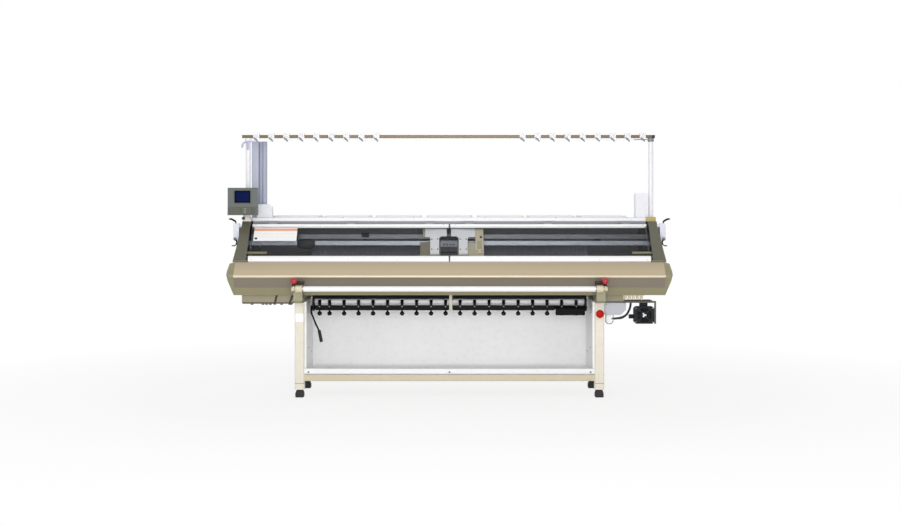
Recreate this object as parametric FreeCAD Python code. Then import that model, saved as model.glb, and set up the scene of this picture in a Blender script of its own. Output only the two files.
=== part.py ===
"""Flat knitting machine, full size, in millimetres.

X runs along the needle beds, Y runs from the front to the back and Z is up.
The origin is on the floor under the middle of the machine.
"""
import FreeCAD, Part
import math
import os

V = FreeCAD.Vector

# ---- overall ----
HALF_WIDTH = 1650.0        # middle to the outermost point at each end
HALF_DEPTH = 520.0         # middle to the start bar's front and the yarn table's back
OVERALL_HEIGHT = 1964.0
RUN_GAP = 0.3              # between surfaces that move past each other
SEAT_GAP = 0.3             # between bolted covers and what carries them
SHAFT_GAP = 0.05           # radial, shafts in their bores
BALL_BANDS = 4             # bands of faces from end to end of a many-sided ball
BALL_FLAT = 70.0           # degrees from a ball's middle to the flat at each end

# ---- stand ----
LEG_INNER = 1068.0         # middle to a leg's inner face
LEG_W = 70.0
LEG_CHAMFER = 6.0
LEG_FRONT = -300.0         # front face of the front legs
LEG_BACK = 300.0           # back face of the back legs
LEG_TOP = 705.0
FOOT_H = 58.0
FOOT_W = 62.0
FOOT_TAPER = 9.0
FOOT_GROOVE = 2.0          # step between the leg and its boot
BOOT_H = 47.0              # height of the cast boot at a leg's lower end
BEAM_Z = 121.0
BEAM_H = 46.0
BEAM_DEPTH = 60.0
TIE_W = 50.0
TIE_H = 60.0
TIE_TOP_DROP = 5.0         # upper tie below the leg's top
CAP_INSET = 5.0            # a leg block is this much narrower than the leg, each side
CAP_ARM_H = 44.0           # forward arm of a front leg block
CAP_ARM_REACH = 180.0      # how far the arm stands in front of the leg
CAP_HORN_T = 40.0          # upright horn at the arm's end
CAP_HORN_TOP = 800.0

# ---- fabric bin ----
BIN_INNER = LEG_INNER - 14.0         # middle to a side wall's inner face
BIN_T = 2.5
BIN_BACK_Y = 224.0
BIN_TOP_Z = 704.0
BIN_BEND_R = 30.0
LIP_H = 42.0
LIP_T = 22.0
LIP_R = 10.0
LIP_Z = 172.0

# ---- bed beams and needle beds ----
SLOPE = 39.0               # degrees, beds, arms and windows
THROAT_Y = -40.0           # plane of the fabric
THROAT_GAP = 8.0           # between the two beds' edges
BED_TOP_Z = 1105.0
BED_LEN = 262.0            # down the slope
BED_T = 30.0
BED_HALF = 1032.0          # middle to the bed's end
KNIT_HALF = 1016.0         # half of the 80 inch knitting width
NEEDLE_PITCH = 38.1
GROOVE_W = 5.0
GROOVE_D = 7.0
NEEDLE_W = 3.4
NEEDLE_H = 5.0
NEEDLE_START = 10.0        # hook end, down the slope from the throat
NEEDLE_LEN = 170.0
BUTT_H = 4.0               # butt above the bed's face
BUTT_LEN = 12.0
BUTT_AT = 120.0            # down the slope from the throat
BEAM_BOTTOM = 795.0
BEAM_HALF = HALF_WIDTH - 168.0
BEAM_FRONT = -300.0
BEAM_BACK = 300.0
SLOT_HALF = 20.0           # half the slot between the beams

# ---- rails ----
GUIDE_R = 14.0             # carriage guide bar
GUIDE_S = 236.0            # down the slope from the throat
GUIDE_H = 40.0             # above the bed's face
FEED_T = 12.0
FEED_H = 36.0
FEED_LOW_Z = 1112.0
FEED_HIGH_Z = 1160.0
FEED_PITCH = 30.0          # between neighbouring feeder rails

# ---- carriage ----
CAM_S0 = 60.0
CAM_S1 = 214.0
CAM_H0 = 6.0
CAM_H1 = 88.0
CAM_LEFT = -217.0
CAM_RIGHT = 254.0
CAM_CHAMFER = 14.0
ARM_T = 12.0
ARM_LEFT = -110.0          # centre of each bridge arm
ARM_RIGHT = 102.0
STEM_W = 66.0
BAR_W = 180.0
BAR_DROP = 60.0            # height of the T's bar, seen from the front
BEARING_HALF = 24.0
HEAD_W = 122.0             # dark feeder head between the arms

# ---- windows ----
WINDOW_HALF = HALF_WIDTH - 173.0
WINDOW_SPLIT = 1.5         # half the slit between the two covers
HINGE_Y = -58.0
HINGE_Z = 1283.0
HINGE_R = 7.0
PIN_R = 3.0
KNUCKLE_W = 60.0
LUG_W = 18.0
UP_RAIL_H = 29.0
UP_RAIL_T = 20.0
UP_RAIL_Z = 1243.0
LOW_RAIL_Z = 996.5
LOW_RAIL_H = 45.5
LOW_RAIL_T = 32.0
LOW_RAIL_Y = -336.0
PANE_T = 5.0

# ---- covers ----
COVER_HALF = HALF_WIDTH - 82.5
COVER_T = 3.0
COVER_TOP_Z = 996.0
COVER_TOP_Y = -350.0
COVER_NOSE_Y = -450.0
COVER_NOSE_Z = 896.0
COVER_NOSE_R = 14.0
COVER_LOW_Y = -402.0
COVER_LOW_Z = 815.0
COVER_FLANGE = 58.0
LOWER_HALF = HALF_WIDTH - 76.0
LOWER_Y = -362.0
LOWER_Z = 757.0
REAR_Y = 480.0
REAR_LOW_Y = 420.0
REAR_CHAMFER_Z = 830.0
CAP_OUT = HALF_WIDTH - 26.0
FRAME_IN = HALF_WIDTH - 160.0  # inner face of an end frame
FRAME_PLATE_IN = HALF_WIDTH - 168.0
FRAME_PLATE_OUT = HALF_WIDTH - 154.0
FRAME_OUT_LOW = HALF_WIDTH - 61.0
FRAME_OUT_TOP = HALF_WIDTH - 95.0
DECK_Z = 1293.0
DECK_T = 27.0
DECK_HALF = HALF_WIDTH - 90.0
HOOD_HALF = HALF_WIDTH - 172.0
HOOD_Y = -42.0
INNER_Y = 400.0
TRAY_N = 7
TRAY_W = 352.0
TRAY_PITCH = 392.0
TRAY_H = 14.0
TRAY_FRONT = 150.0

# ---- takedown ----
ROLL_R = 22.0
ROLL_Y = THROAT_Y + 2.0
ROLL_Z = 691.0
PINCH_R = 20.0
PINCH_GAP = 1.0            # room for the fabric in the nip
AXLE_R = 7.0
PLATE_IN = LEG_INNER - 52.0          # inner face of a takedown end plate
PLATE_T = 10.0
PLATE_FRONT = -118.0
PLATE_BACK = 10.0
PLATE_Z = 622.0
TOP_BAR_H = 17.0
TOP_BAR_Z = 716.0
TOP_BAR_T = 30.0
PRESS_Y = -104.0
PRESS_Z = 650.5
PRESS_R = 15.0
JOURNAL_R = 9.0
PRESS_N = 18
PRESS_FIRST = 118.0 - PLATE_IN
PRESS_LAST = PLATE_IN - 67.8
PRESS_PITCH = (PRESS_LAST - PRESS_FIRST) / (PRESS_N - 1)
PRESS_EXTRA = 44.0 - PLATE_IN
PRESS_W = 20.0
KNOB_R = 16.0
HANGER_X = 500.0
GEARBOX_LEN = 226.0        # from an end plate to the gearbox's far end
STRUT_W = 22.0
STRUT_LEFT = 2.0
KNOB_Z = 604.0
NECK_R = 4.5
LEVER_R = 6.5
GRIP_R = 10.0

# ---- start bar ----
START_R = 20.0
START_Z = 810.0
START_Y = -HALF_DEPTH + 25.0
START_JOURNAL_R = 9.0
BRACKET_IN = LEG_INNER - 7.0
BRACKET_OUT = LEG_INNER + 44.0
START_HALF = BRACKET_IN - 8.0
START_END = BRACKET_OUT + 16.0
BRACKET_R = 19.0
BALL_R = 25.0
BALL_Z = 867.0
CRANK_T = 10.0
CRANK_R = 9.0

# ---- stop button ----
STOP_X = LEG_INNER + 36.0
STOP_Z = 617.0
STOP_R = 30.0
STOP_DOME = 14.0
STOP_COLLAR_R = 21.0
STOP_COLLAR_H = 14.0
STOP_STEM_R = 11.0
STOP_TRAVEL = 6.0

# ---- yarn stand ----
POLE_X = HALF_WIDTH - 120.0
POLE_R = 19.0
POLE_CLAMP = 5.0           # wall of the clamp at a pole's top
POLE_Y = 60.0
BAR_Z = OVERALL_HEIGHT - 28.0
BAR_H = 24.0
BAR_D = 26.0
BAR_LEFT = -POLE_X - 45.0
BAR_RIGHT = POLE_X + 30.0
RAIL_DROP = 8.0            # thin guide rail below the top bar
RAIL_H = 7.0
TENSION_N = 9
TENSION_W = 46.0
TENSION_FIRST = 555.0
TENSION_PITCH = 114.0
DUCT_X = 20.0 - POLE_X
DUCT_W = 58.0
DUCT_D = 46.0
DUCT_TOP = 1901.0
DUCT_Y = 112.0
CONDUIT_R = 19.0
SUPPLY_LEFT_W = 113.0      # supply boxes at the feet of the poles
SUPPLY_RIGHT_W = 93.0
CONDUIT_X = DUCT_X + 96.0

# ---- operator's screen ----
MON_W = 220.0
MON_H = 204.0
MON_D = 62.0
MON_Z = 1340.0
MON_Y = -176.0
SCREEN_W = 118.0
SCREEN_H = 90.0
MON_PIVOT_R = 11.0
MON_PIVOT_Y = -60.0
MON_PIVOT_X = 108.0 - HALF_WIDTH

# ---- side tension ----
SIDE_IN = HALF_WIDTH - 94.0
SIDE_OUT = HALF_WIDTH - 34.0
SIDE_Z = 1149.0
SIDE_H = 129.0
SIDE_Y = -130.0
SIDE_D = 90.0
SPRING_R = 4.0
SIDE_PIN_R = 4.0
SIDE_PIN_IN = 16.0         # pin to the box's outer face
SIDE_PIN_UP = 14.0         # pin above the box's foot
GUIDE_ROD_R = 5.5          # yarn guide rod above the box

# ---- below the beds ----
SHELF_Z = 696.0
SHELF_T = 13.0
FAN_X = LEG_INNER + 365.0
FAN_W = 150.0
FAN_H = 127.0
FAN_Z = 542.0
FAN_D = 60.0
FAN_Y = -290.0
FAN_BORE = 55.0
FAN_HUB_R = 20.0
FAN_BLADES = 7
FAN_TIP_GAP = 3.0
PANEL_Z = 606.0            # underside of the panel box
PLUG_X = LEG_INNER + 127.0 # face of the plug that the power cable enters
BIG_CABLE_R = 5.5
THIN_CABLE_R = 3.0

TAN = math.tan(math.radians(SLOPE))
COS = math.cos(math.radians(SLOPE))
SIN = math.sin(math.radians(SLOPE))
BED_EDGE_Y = THROAT_Y - THROAT_GAP / 2
LEG_OUTER = LEG_INNER + LEG_W
BIN_BOTTOM = BEAM_Z + BEAM_H + SEAT_GAP
BIN_FLOOR_Z = BIN_BOTTOM + BIN_T


# ---- helpers ----
def box(x0, x1, y0, y1, z0, z1):
    """A block between two corners."""
    return Part.makeBox(x1 - x0, y1 - y0, z1 - z0, V(x0, y0, z0))


def face_of(points):
    """A flat face with straight sides through the points."""
    return Part.Face(Part.makePolygon(list(points) + [points[0]]))


def prism_x(outline, x0, x1):
    """An outline of (y, z) pairs drawn out from x0 to x1."""
    return face_of([V(x0, y, z) for y, z in outline]).extrude(V(x1 - x0, 0, 0))


def prism_y(outline, y0, y1):
    """An outline of (x, z) pairs drawn out from y0 to y1."""
    return face_of([V(x, y0, z) for x, z in outline]).extrude(V(0, y1 - y0, 0))


def prism_z(outline, z0, z1):
    """An outline of (x, y) pairs drawn out from z0 to z1."""
    return face_of([V(x, y, z0) for x, y in outline]).extrude(V(0, 0, z1 - z0))


def rod_x(radius, x0, x1, y, z):
    return Part.makeCylinder(radius, x1 - x0, V(x0, y, z), V(1, 0, 0))


def rod_y(radius, y0, y1, x, z):
    return Part.makeCylinder(radius, y1 - y0, V(x, y0, z), V(0, 1, 0))


def rod_z(radius, z0, z1, x, y):
    return Part.makeCylinder(radius, z1 - z0, V(x, y, z0), V(0, 0, 1))


def rod(radius, start, end):
    """A round bar between two points."""
    return Part.makeCylinder(radius, (end - start).Length, start, end - start)


def turned(rings, sides, place):
    """A many-sided turned piece through rings of (radius, height), flat at both ends."""
    step = 2 * math.pi / sides
    loops = [[V(radius * math.cos(step * i), radius * math.sin(step * i), height) for i in range(sides)]
             for radius, height in rings]
    faces = [face_of(loops[0][::-1]), face_of(loops[-1])]
    for low, high in zip(loops[:-1], loops[1:]):
        for i in range(sides):
            j = (i + 1) % sides
            faces.append(face_of([low[i], low[j], high[j], high[i]]))
    body = Part.Solid(Part.Shell(faces))
    body.Placement = place
    return body


def place_along(start, axis):
    """Where a piece made along Z goes, to start at a point and lie along an axis."""
    return FreeCAD.Placement(start, FreeCAD.Rotation(V(0, 0, 1), axis))


def facet_bar(radius, sides, start, end):
    """A thin bar with few sides, for small pieces that repeat."""
    axis = end - start
    return turned([(radius, 0), (radius, axis.Length)], sides, place_along(start, axis))


def facet_ball(radius, sides, centre, axis=V(0, 0, 1)):
    """A ball with few sides, flat where a stem meets it."""
    angles = [math.radians(BALL_FLAT * (2.0 * i / BALL_BANDS - 1)) for i in range(BALL_BANDS + 1)]
    rings = [(radius * math.cos(angle), radius * math.sin(angle)) for angle in angles]
    return turned(rings, sides, place_along(centre, axis))


def mirror_x(shape):
    return shape.mirror(V(0, 0, 0), V(1, 0, 0))


def mirror_throat(shape):
    """The same shape on the other side of the fabric's plane."""
    return shape.mirror(V(0, THROAT_Y, 0), V(0, 1, 0))


def fuse(shapes):
    shapes = list(shapes)
    body = shapes[0]
    if len(shapes) > 1:
        body = shapes[0].fuse(shapes[1:])
    return body.removeSplitter()


def edges_along(shape, axis):
    """The straight edges that run along one axis."""
    found = []
    for edge in shape.Edges:
        if len(edge.Vertexes) == 2:
            way = edge.Vertexes[1].Point - edge.Vertexes[0].Point
            if way.Length > 0.01 and abs(way.normalize().dot(axis)) > 0.999:
                found.append(edge)
    return found


def edge_near(shape, y, z):
    """The edge along X that lies nearest to a (y, z) point."""
    return min(edges_along(shape, V(1, 0, 0)),
               key=lambda edge: math.hypot(edge.BoundBox.Center.y - y, edge.BoundBox.Center.z - z))


def rounded(shape, radius, axis):
    """The shape with the edges along one axis rounded."""
    return shape.makeFillet(radius, edges_along(shape, axis))


def chamfered(shape, size, axis):
    return shape.makeChamfer(size, edges_along(shape, axis))


def offset_path(points, distance):
    """The points of an open path moved sideways, with mitred corners."""
    moved = []
    last = len(points) - 1
    for i, (a, b) in enumerate(points):
        before = points[max(i - 1, 0)]
        after = points[min(i + 1, last)]
        normals = []
        for p, q in ((before, (a, b)), ((a, b), after)):
            length = math.hypot(q[0] - p[0], q[1] - p[1])
            if length > 0:
                normals.append(((p[1] - q[1]) / length, (q[0] - p[0]) / length))
        na = sum(n[0] for n in normals) / len(normals)
        nb = sum(n[1] for n in normals) / len(normals)
        scale = distance / (na * na + nb * nb)
        moved.append((a + na * scale, b + nb * scale))
    return moved


def sheet_x(path, thickness, x0, x1):
    """A folded sheet: a path of (y, z) pairs thickened to its left side."""
    outline = list(path) + list(reversed(offset_path(path, thickness)))
    return prism_x(outline, x0, x1)


def on_bed(s, h):
    """(y, z) of a point s down the front bed's slope and h above its face."""
    return (BED_EDGE_Y - s * COS - h * SIN, BED_TOP_Z - s * SIN + h * COS)


def plane_z(y, h):
    """Height at y of the plane that lies h above the front bed's face."""
    return BED_TOP_Z + h / COS + (y - BED_EDGE_Y) * TAN


def save(name, shape):
    """Write one sub-part and say how many solids it holds."""
    shapes = shape if isinstance(shape, list) else [shape]
    solids = [solid for item in shapes for solid in item.Solids]
    out = solids[0] if len(solids) == 1 else Part.makeCompound(solids)
    out.exportStep("parts/" + name + ".step")
    print(name, len(solids), "valid" if out.isValid() else "INVALID", round(out.Volume / 1e6, 3))


# ---- stand ----
def leg(side, y0):
    x0 = LEG_INNER if side > 0 else -LEG_OUTER
    post = box(x0, x0 + LEG_W, y0, y0 + LEG_W, FOOT_H, LEG_TOP)
    post = chamfered(post, LEG_CHAMFER, V(0, 0, 1))
    ring = box(x0 - 1, x0 + LEG_W + 1, y0 - 1, y0 + LEG_W + 1, FOOT_H + BOOT_H,
               FOOT_H + BOOT_H + FOOT_GROOVE)
    core = box(x0 + FOOT_GROOVE, x0 + LEG_W - FOOT_GROOVE, y0 + FOOT_GROOVE, y0 + LEG_W - FOOT_GROOVE,
               FOOT_H, LEG_TOP)
    return post.cut(ring.cut(core))


def foot(side, y0):
    """A tapered levelling foot with a chamfered rim, under one leg."""
    cx = side * (LEG_INNER + LEG_W / 2)
    cy = y0 + LEG_W / 2
    half = FOOT_W / 2
    neck = half - FOOT_TAPER
    outline = [(cx - half + 4, 0), (cx + half - 4, 0), (cx + half, 5), (cx + half, 30),
               (cx + neck, FOOT_H - SEAT_GAP), (cx - neck, FOOT_H - SEAT_GAP), (cx - half, 30),
               (cx - half, 5)]
    side_view = [(cy + z[0] - cx, z[1]) for z in outline]
    return prism_y(outline, cy - half, cy + half).common(prism_x(side_view, cx - half, cx + half))


def side_tie(side, z0):
    cx = side * (LEG_INNER + LEG_W / 2)
    bar = box(cx - TIE_W / 2, cx + TIE_W / 2, LEG_FRONT + LEG_W, LEG_BACK - LEG_W, z0, z0 + TIE_H)
    return chamfered(bar, LEG_CHAMFER, V(0, 1, 0))


def long_beam(y0):
    beam = box(-LEG_INNER, LEG_INNER, y0, y0 + BEAM_DEPTH, BEAM_Z, BEAM_Z + BEAM_H)
    return rounded(beam, LEG_CHAMFER, V(1, 0, 0))


def front_leg_block(side):
    """Pedestal under the bed beam, with a forward arm and a horn for the start bar."""
    x0 = LEG_INNER - CAP_INSET if side > 0 else -(LEG_OUTER - 2 * CAP_INSET)
    x1 = LEG_OUTER - 2 * CAP_INSET if side > 0 else -(LEG_INNER - CAP_INSET)
    z0 = LEG_TOP
    front = LEG_FRONT - CAP_ARM_REACH
    back = LEG_FRONT + LEG_W
    outline = [(back, z0), (back, BEAM_BOTTOM), (LEG_FRONT, BEAM_BOTTOM), (LEG_FRONT, z0 + CAP_ARM_H),
               (front + CAP_HORN_T, z0 + CAP_ARM_H), (front + CAP_HORN_T, CAP_HORN_TOP),
               (front, CAP_HORN_TOP), (front, z0 + 18), (front + 30, z0)]
    block = prism_x(outline, x0, x1)
    return block


def back_leg_block(side):
    x0 = LEG_INNER - CAP_INSET if side > 0 else -(LEG_OUTER - 2 * CAP_INSET)
    x1 = LEG_OUTER - 2 * CAP_INSET if side > 0 else -(LEG_INNER - CAP_INSET)
    block = box(x0, x1, LEG_BACK - LEG_W, LEG_BACK, LEG_TOP, BEAM_BOTTOM)
    return chamfered(block, LEG_CHAMFER, V(0, 0, 1))


def build_stand():
    back_y = LEG_BACK - LEG_W
    save("front_legs", [leg(-1, LEG_FRONT), leg(1, LEG_FRONT)])
    save("back_legs", [leg(-1, back_y), leg(1, back_y)])
    save("levelling_feet", [foot(s, y) for s in (-1, 1) for y in (LEG_FRONT, back_y)])
    tops = LEG_TOP - TIE_H - TIE_TOP_DROP
    save("side_ties", [side_tie(s, z) for s in (-1, 1) for z in (BEAM_Z, tops)])
    save("long_beams", [long_beam(LEG_FRONT + 5), long_beam(back_y + 5)])
    save("leg_blocks", [front_leg_block(-1), front_leg_block(1), back_leg_block(-1), back_leg_block(1)])


# ---- fabric bin ----
def bin_side(side):
    """Side wall with a flange turned towards the leg at its front edge and two pierced holes."""
    x0 = BIN_INNER if side > 0 else -BIN_INNER - BIN_T
    wall = box(x0, x0 + BIN_T, LEG_FRONT + LIP_T + SEAT_GAP, BIN_BACK_Y + BIN_T, BIN_BOTTOM, BIN_TOP_Z)
    wall = wall.cut(facet_bar(6, 8, V(x0 - 1, LEG_FRONT + 80, 350), V(x0 + BIN_T + 1, LEG_FRONT + 80, 350)))
    wall = wall.cut(facet_bar(6, 8, V(x0 - 1, LEG_FRONT + 80, 610), V(x0 + BIN_T + 1, LEG_FRONT + 80, 610)))
    f0 = BIN_INNER if side > 0 else -LEG_INNER
    flange = box(f0, f0 + LEG_INNER - BIN_INNER, LEG_FRONT + LIP_T + SEAT_GAP,
                 LEG_FRONT + LIP_T + SEAT_GAP + BIN_T, BIN_BOTTOM, BIN_TOP_Z)
    return fuse([wall, flange])


def bin_tray():
    """Floor and back wall folded from one sheet, with a wide bend between them."""
    x0 = -BIN_INNER + SEAT_GAP
    x1 = BIN_INNER - SEAT_GAP
    front = LEG_FRONT + LIP_T + SEAT_GAP
    top = BIN_TOP_Z
    r = BIN_BEND_R
    back = BIN_BACK_Y
    z0 = BIN_FLOOR_Z
    t = BIN_T
    c = math.sqrt(0.5)
    outer_mid = V(x0, back - r + (r + t) * c, z0 + r - (r + t) * c + 0)
    inner_mid = V(x0, back - r + r * c, z0 + r - r * c)
    edges = [
        Part.makeLine(V(x0, front, z0 - t), V(x0, back - r, z0 - t)),
        Part.Arc(V(x0, back - r, z0 - t), outer_mid, V(x0, back + t, z0 + r)).toShape(),
        Part.makeLine(V(x0, back + t, z0 + r), V(x0, back + t, top)),
        Part.makeLine(V(x0, back + t, top), V(x0, back, top)),
        Part.makeLine(V(x0, back, top), V(x0, back, z0 + r)),
        Part.Arc(V(x0, back, z0 + r), inner_mid, V(x0, back - r, z0)).toShape(),
        Part.makeLine(V(x0, back - r, z0), V(x0, front, z0)),
        Part.makeLine(V(x0, front, z0), V(x0, front, z0 - t)),
    ]
    return Part.Face(Part.Wire(edges)).extrude(V(x1 - x0, 0, 0))


def bin_lip():
    """Rounded rail across the front of the bin."""
    half = LEG_INNER - SEAT_GAP
    rail = box(-half, half, LEG_FRONT, LEG_FRONT + LIP_T, LIP_Z, LIP_Z + LIP_H)
    rail = rounded(rail, LIP_R, V(1, 0, 0))
    return rail


def build_bin():
    save("bin_sides", [bin_side(-1), bin_side(1)])
    save("bin_tray", bin_tray())
    save("bin_lip", bin_lip())


# ---- bed beams and needle beds ----
def bed_beam_front():
    """Long casting whose top face carries the needle bed at the bed's slope."""
    inner = THROAT_Y - SLOT_HALF
    under = -BED_T
    outline = [(BEAM_FRONT, BEAM_BOTTOM), (inner, BEAM_BOTTOM), (inner, plane_z(inner, under)),
               (BEAM_FRONT, plane_z(BEAM_FRONT, under))]
    return prism_x(outline, -BEAM_HALF, BEAM_HALF)


def bed_beam_back():
    inner = THROAT_Y + SLOT_HALF
    mirrored = 2 * THROAT_Y
    under = -BED_T - RUN_GAP
    far = mirrored - BEAM_FRONT
    outline = [(BEAM_BACK, BEAM_BOTTOM), (inner, BEAM_BOTTOM), (inner, plane_z(mirrored - inner, under)),
               (far, plane_z(BEAM_FRONT, under)), (BEAM_BACK, plane_z(BEAM_FRONT, under))]
    return prism_x(outline, -BEAM_HALF, BEAM_HALF)


def needle_bed():
    """Grooved plate with one needle in each groove, in place in front of the throat."""
    count = int(2 * KNIT_HALF / NEEDLE_PITCH)
    first = -(count - 1) * NEEDLE_PITCH / 2
    outline = [(-BED_HALF, -BED_T), (-BED_HALF, 0)]
    for i in range(count):
        x = first + i * NEEDLE_PITCH
        outline += [(x - GROOVE_W / 2, 0), (x - GROOVE_W / 2, -GROOVE_D),
                    (x + GROOVE_W / 2, -GROOVE_D), (x + GROOVE_W / 2, 0)]
    outline += [(BED_HALF, 0), (BED_HALF, -BED_T)]
    start = on_bed(-BED_T, 0)
    plate_face = []
    for x, h in outline:
        plate_face.append(V(x, start[0] - h * SIN, start[1] + h * COS))
    down = V(0, -COS, -SIN)
    plate = face_of(plate_face).extrude(down * (BED_LEN + BED_T))
    far_side = BED_EDGE_Y
    trim = box(-BED_HALF - 5, BED_HALF + 5, far_side, far_side + 100, BED_TOP_Z - 200, BED_TOP_Z + 200)
    plate = plate.cut(trim)
    needles = []
    profile = [(NEEDLE_START, -GROOVE_D), (NEEDLE_START, -GROOVE_D + NEEDLE_H),
               (BUTT_AT, -GROOVE_D + NEEDLE_H),
               (BUTT_AT, BUTT_H), (BUTT_AT + BUTT_LEN, BUTT_H), (BUTT_AT + BUTT_LEN, -GROOVE_D + NEEDLE_H),
               (NEEDLE_START + NEEDLE_LEN, -GROOVE_D + NEEDLE_H), (NEEDLE_START + NEEDLE_LEN, -GROOVE_D)]
    needle = prism_x([on_bed(s, h) for s, h in profile], -NEEDLE_W / 2, NEEDLE_W / 2)
    for i in range(count):
        copy = needle.copy()
        copy.translate(V(first + i * NEEDLE_PITCH, 0, 0))
        needles.append(copy)
    return [plate] + needles


def guide_bar():
    y, z = on_bed(GUIDE_S, GUIDE_H)
    return rod_x(GUIDE_R, -FRAME_PLATE_IN, FRAME_PLATE_IN, y, z)


def feeder_rail(row):
    """One of three flat rails, the middle one higher than the others."""
    y = THROAT_Y + row * FEED_PITCH
    z0 = FEED_HIGH_Z if row == 0 else FEED_LOW_Z
    rail = box(-FRAME_IN, FRAME_IN, y - FEED_T / 2, y + FEED_T / 2, z0, z0 + FEED_H)
    return chamfered(rail, 2.0, V(1, 0, 0))


def build_beds():
    save("bed_beam_front", bed_beam_front())
    save("bed_beam_back", bed_beam_back())
    front = needle_bed()
    save("needle_bed_front", front)
    save("needle_bed_back", [mirror_throat(item) for item in front])
    bar = guide_bar()
    save("guide_bars", [bar, mirror_throat(bar)])
    save("feeder_rails", [feeder_rail(-1), feeder_rail(0), feeder_rail(1)])


# ---- yarn carriers ----
CARRIER_W = 56.0
CARRIER_T = 5.5            # cheek of the saddle beside the rail
CARRIER_TOP = 12.0
CARRIER_DROP = 24.0
TIP_W = 5.0
TIP_PITCH = 7.0            # between the tips of neighbouring carriers
TIP_Z = 1109.0


def yarn_carrier(row, x):
    """A saddle on its rail, an arm bent in to the throat and a ring for the yarn."""
    y = THROAT_Y + row * FEED_PITCH
    z1 = (FEED_HIGH_Z if row == 0 else FEED_LOW_Z) + FEED_H
    inner = FEED_T / 2 + RUN_GAP
    outer = inner + CARRIER_T
    low = z1 - CARRIER_DROP
    outline = [(y - outer, low), (y - outer, z1 + CARRIER_TOP - 4), (y - outer + 4, z1 + CARRIER_TOP),
               (y + outer - 4, z1 + CARRIER_TOP), (y + outer, z1 + CARRIER_TOP - 4), (y + outer, low),
               (y + inner, low), (y + inner, z1 + RUN_GAP), (y - inner, z1 + RUN_GAP), (y - inner, low)]
    saddle = prism_x(outline, x - CARRIER_W / 2, x + CARRIER_W / 2)
    tip_y = THROAT_Y + row * TIP_PITCH
    lean = 1 if row <= 0 else -1
    side = y + lean * (inner + CARRIER_T)
    in_y = y + lean * inner
    bend_z = FEED_LOW_Z + 16
    arm_path = [(side, low + 6), (side, bend_z), (tip_y + lean * TIP_W / 2, TIP_Z + 3),
                (tip_y + lean * TIP_W / 2, TIP_Z), (tip_y - lean * TIP_W / 2, TIP_Z),
                (tip_y - lean * TIP_W / 2, TIP_Z + 2), (in_y, bend_z - 2), (in_y, low + 6)]
    if row == 0:
        arm_path = [(in_y, low + 6), (side, low + 6), (side, FEED_HIGH_Z - 6),
                    (tip_y + TIP_W / 2, FEED_HIGH_Z - 18),
                    (tip_y + TIP_W / 2, TIP_Z), (tip_y - TIP_W / 2, TIP_Z),
                    (tip_y - TIP_W / 2, FEED_HIGH_Z - 14),
                    (in_y, FEED_HIGH_Z - 3)]
    arm = prism_x(arm_path, x - 8, x + 8)
    taper = prism_y([(x - 8.5, low + 7), (x + 8.5, low + 7), (x + 8.5, FEED_LOW_Z + 14), (x + 3, TIP_Z - 1),
                     (x - 3, TIP_Z - 1), (x - 8.5, FEED_LOW_Z + 14)], y - 60, y + 60)
    arm = arm.common(taper)
    return fuse([saddle, arm])


PARKED = {-1: -1076.0, 0: -634.0, 1: 1116.0}


def build_carriers():
    for number, row in enumerate((-1, 0, 1), 1):
        save("yarn_carrier_%d" % number, yarn_carrier(row, PARKED[row]))


# ---- carriage ----
def cam_box():
    """Cam box over the front bed with a bearing for the guide bar."""
    outline = [on_bed(CAM_S0, CAM_H0), on_bed(CAM_S0, CAM_H1), on_bed(CAM_S1 - CAM_CHAMFER, CAM_H1),
               on_bed(CAM_S1, CAM_H1 - CAM_CHAMFER), on_bed(CAM_S1, CAM_H0)]
    case = prism_x(outline, CAM_LEFT, CAM_RIGHT)
    reach = GUIDE_S + BEARING_HALF
    lug_outline = [on_bed(CAM_S1, GUIDE_H - BEARING_HALF), on_bed(CAM_S1, GUIDE_H + BEARING_HALF),
                   on_bed(reach - 8, GUIDE_H + BEARING_HALF), on_bed(reach, GUIDE_H + BEARING_HALF - 8),
                   on_bed(reach, GUIDE_H - BEARING_HALF)]
    y, z = on_bed(GUIDE_S, GUIDE_H)
    lugs = [prism_x(lug_outline, CAM_LEFT, CAM_LEFT + 90), prism_x(lug_outline, CAM_RIGHT - 90, CAM_RIGHT)]
    body = fuse([case] + lugs)
    return body.cut(rod_x(GUIDE_R + SHAFT_GAP, CAM_LEFT - 1, CAM_RIGHT + 1, y, z))


def bridge_arm(x):
    """One T-shaped arm, bent over the feeder rails from the front cam box to the back one."""
    low = on_bed(CAM_S1 - CAM_CHAMFER, CAM_H1)
    peak = plane_z(THROAT_Y, CAM_H1)
    low_top = on_bed(CAM_S1 - CAM_CHAMFER, CAM_H1 + ARM_T)
    peak_top = plane_z(THROAT_Y, CAM_H1 + ARM_T)
    back_low = (2 * THROAT_Y - low[0], low[1])
    back_top = (2 * THROAT_Y - low_top[0], low_top[1])
    outline = [low, low_top, (THROAT_Y, peak_top), back_top, back_low, (THROAT_Y, peak)]
    strip = prism_x(outline, x - BAR_W / 2, x + BAR_W / 2)
    foot_z = low[1] - 50
    bar_z = peak_top - BAR_DROP
    tee = [(x - STEM_W / 2, foot_z), (x + STEM_W / 2, foot_z), (x + STEM_W / 2, bar_z - 10),
           (x + STEM_W / 2 + 10, bar_z), (x + BAR_W / 2, bar_z), (x + BAR_W / 2, peak_top + 10),
           (x - BAR_W / 2, peak_top + 10), (x - BAR_W / 2, bar_z), (x - STEM_W / 2 - 10, bar_z),
           (x - STEM_W / 2, bar_z - 10)]
    return strip.common(prism_y(tee, low[0] - 60, back_low[0] + 60))


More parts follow.
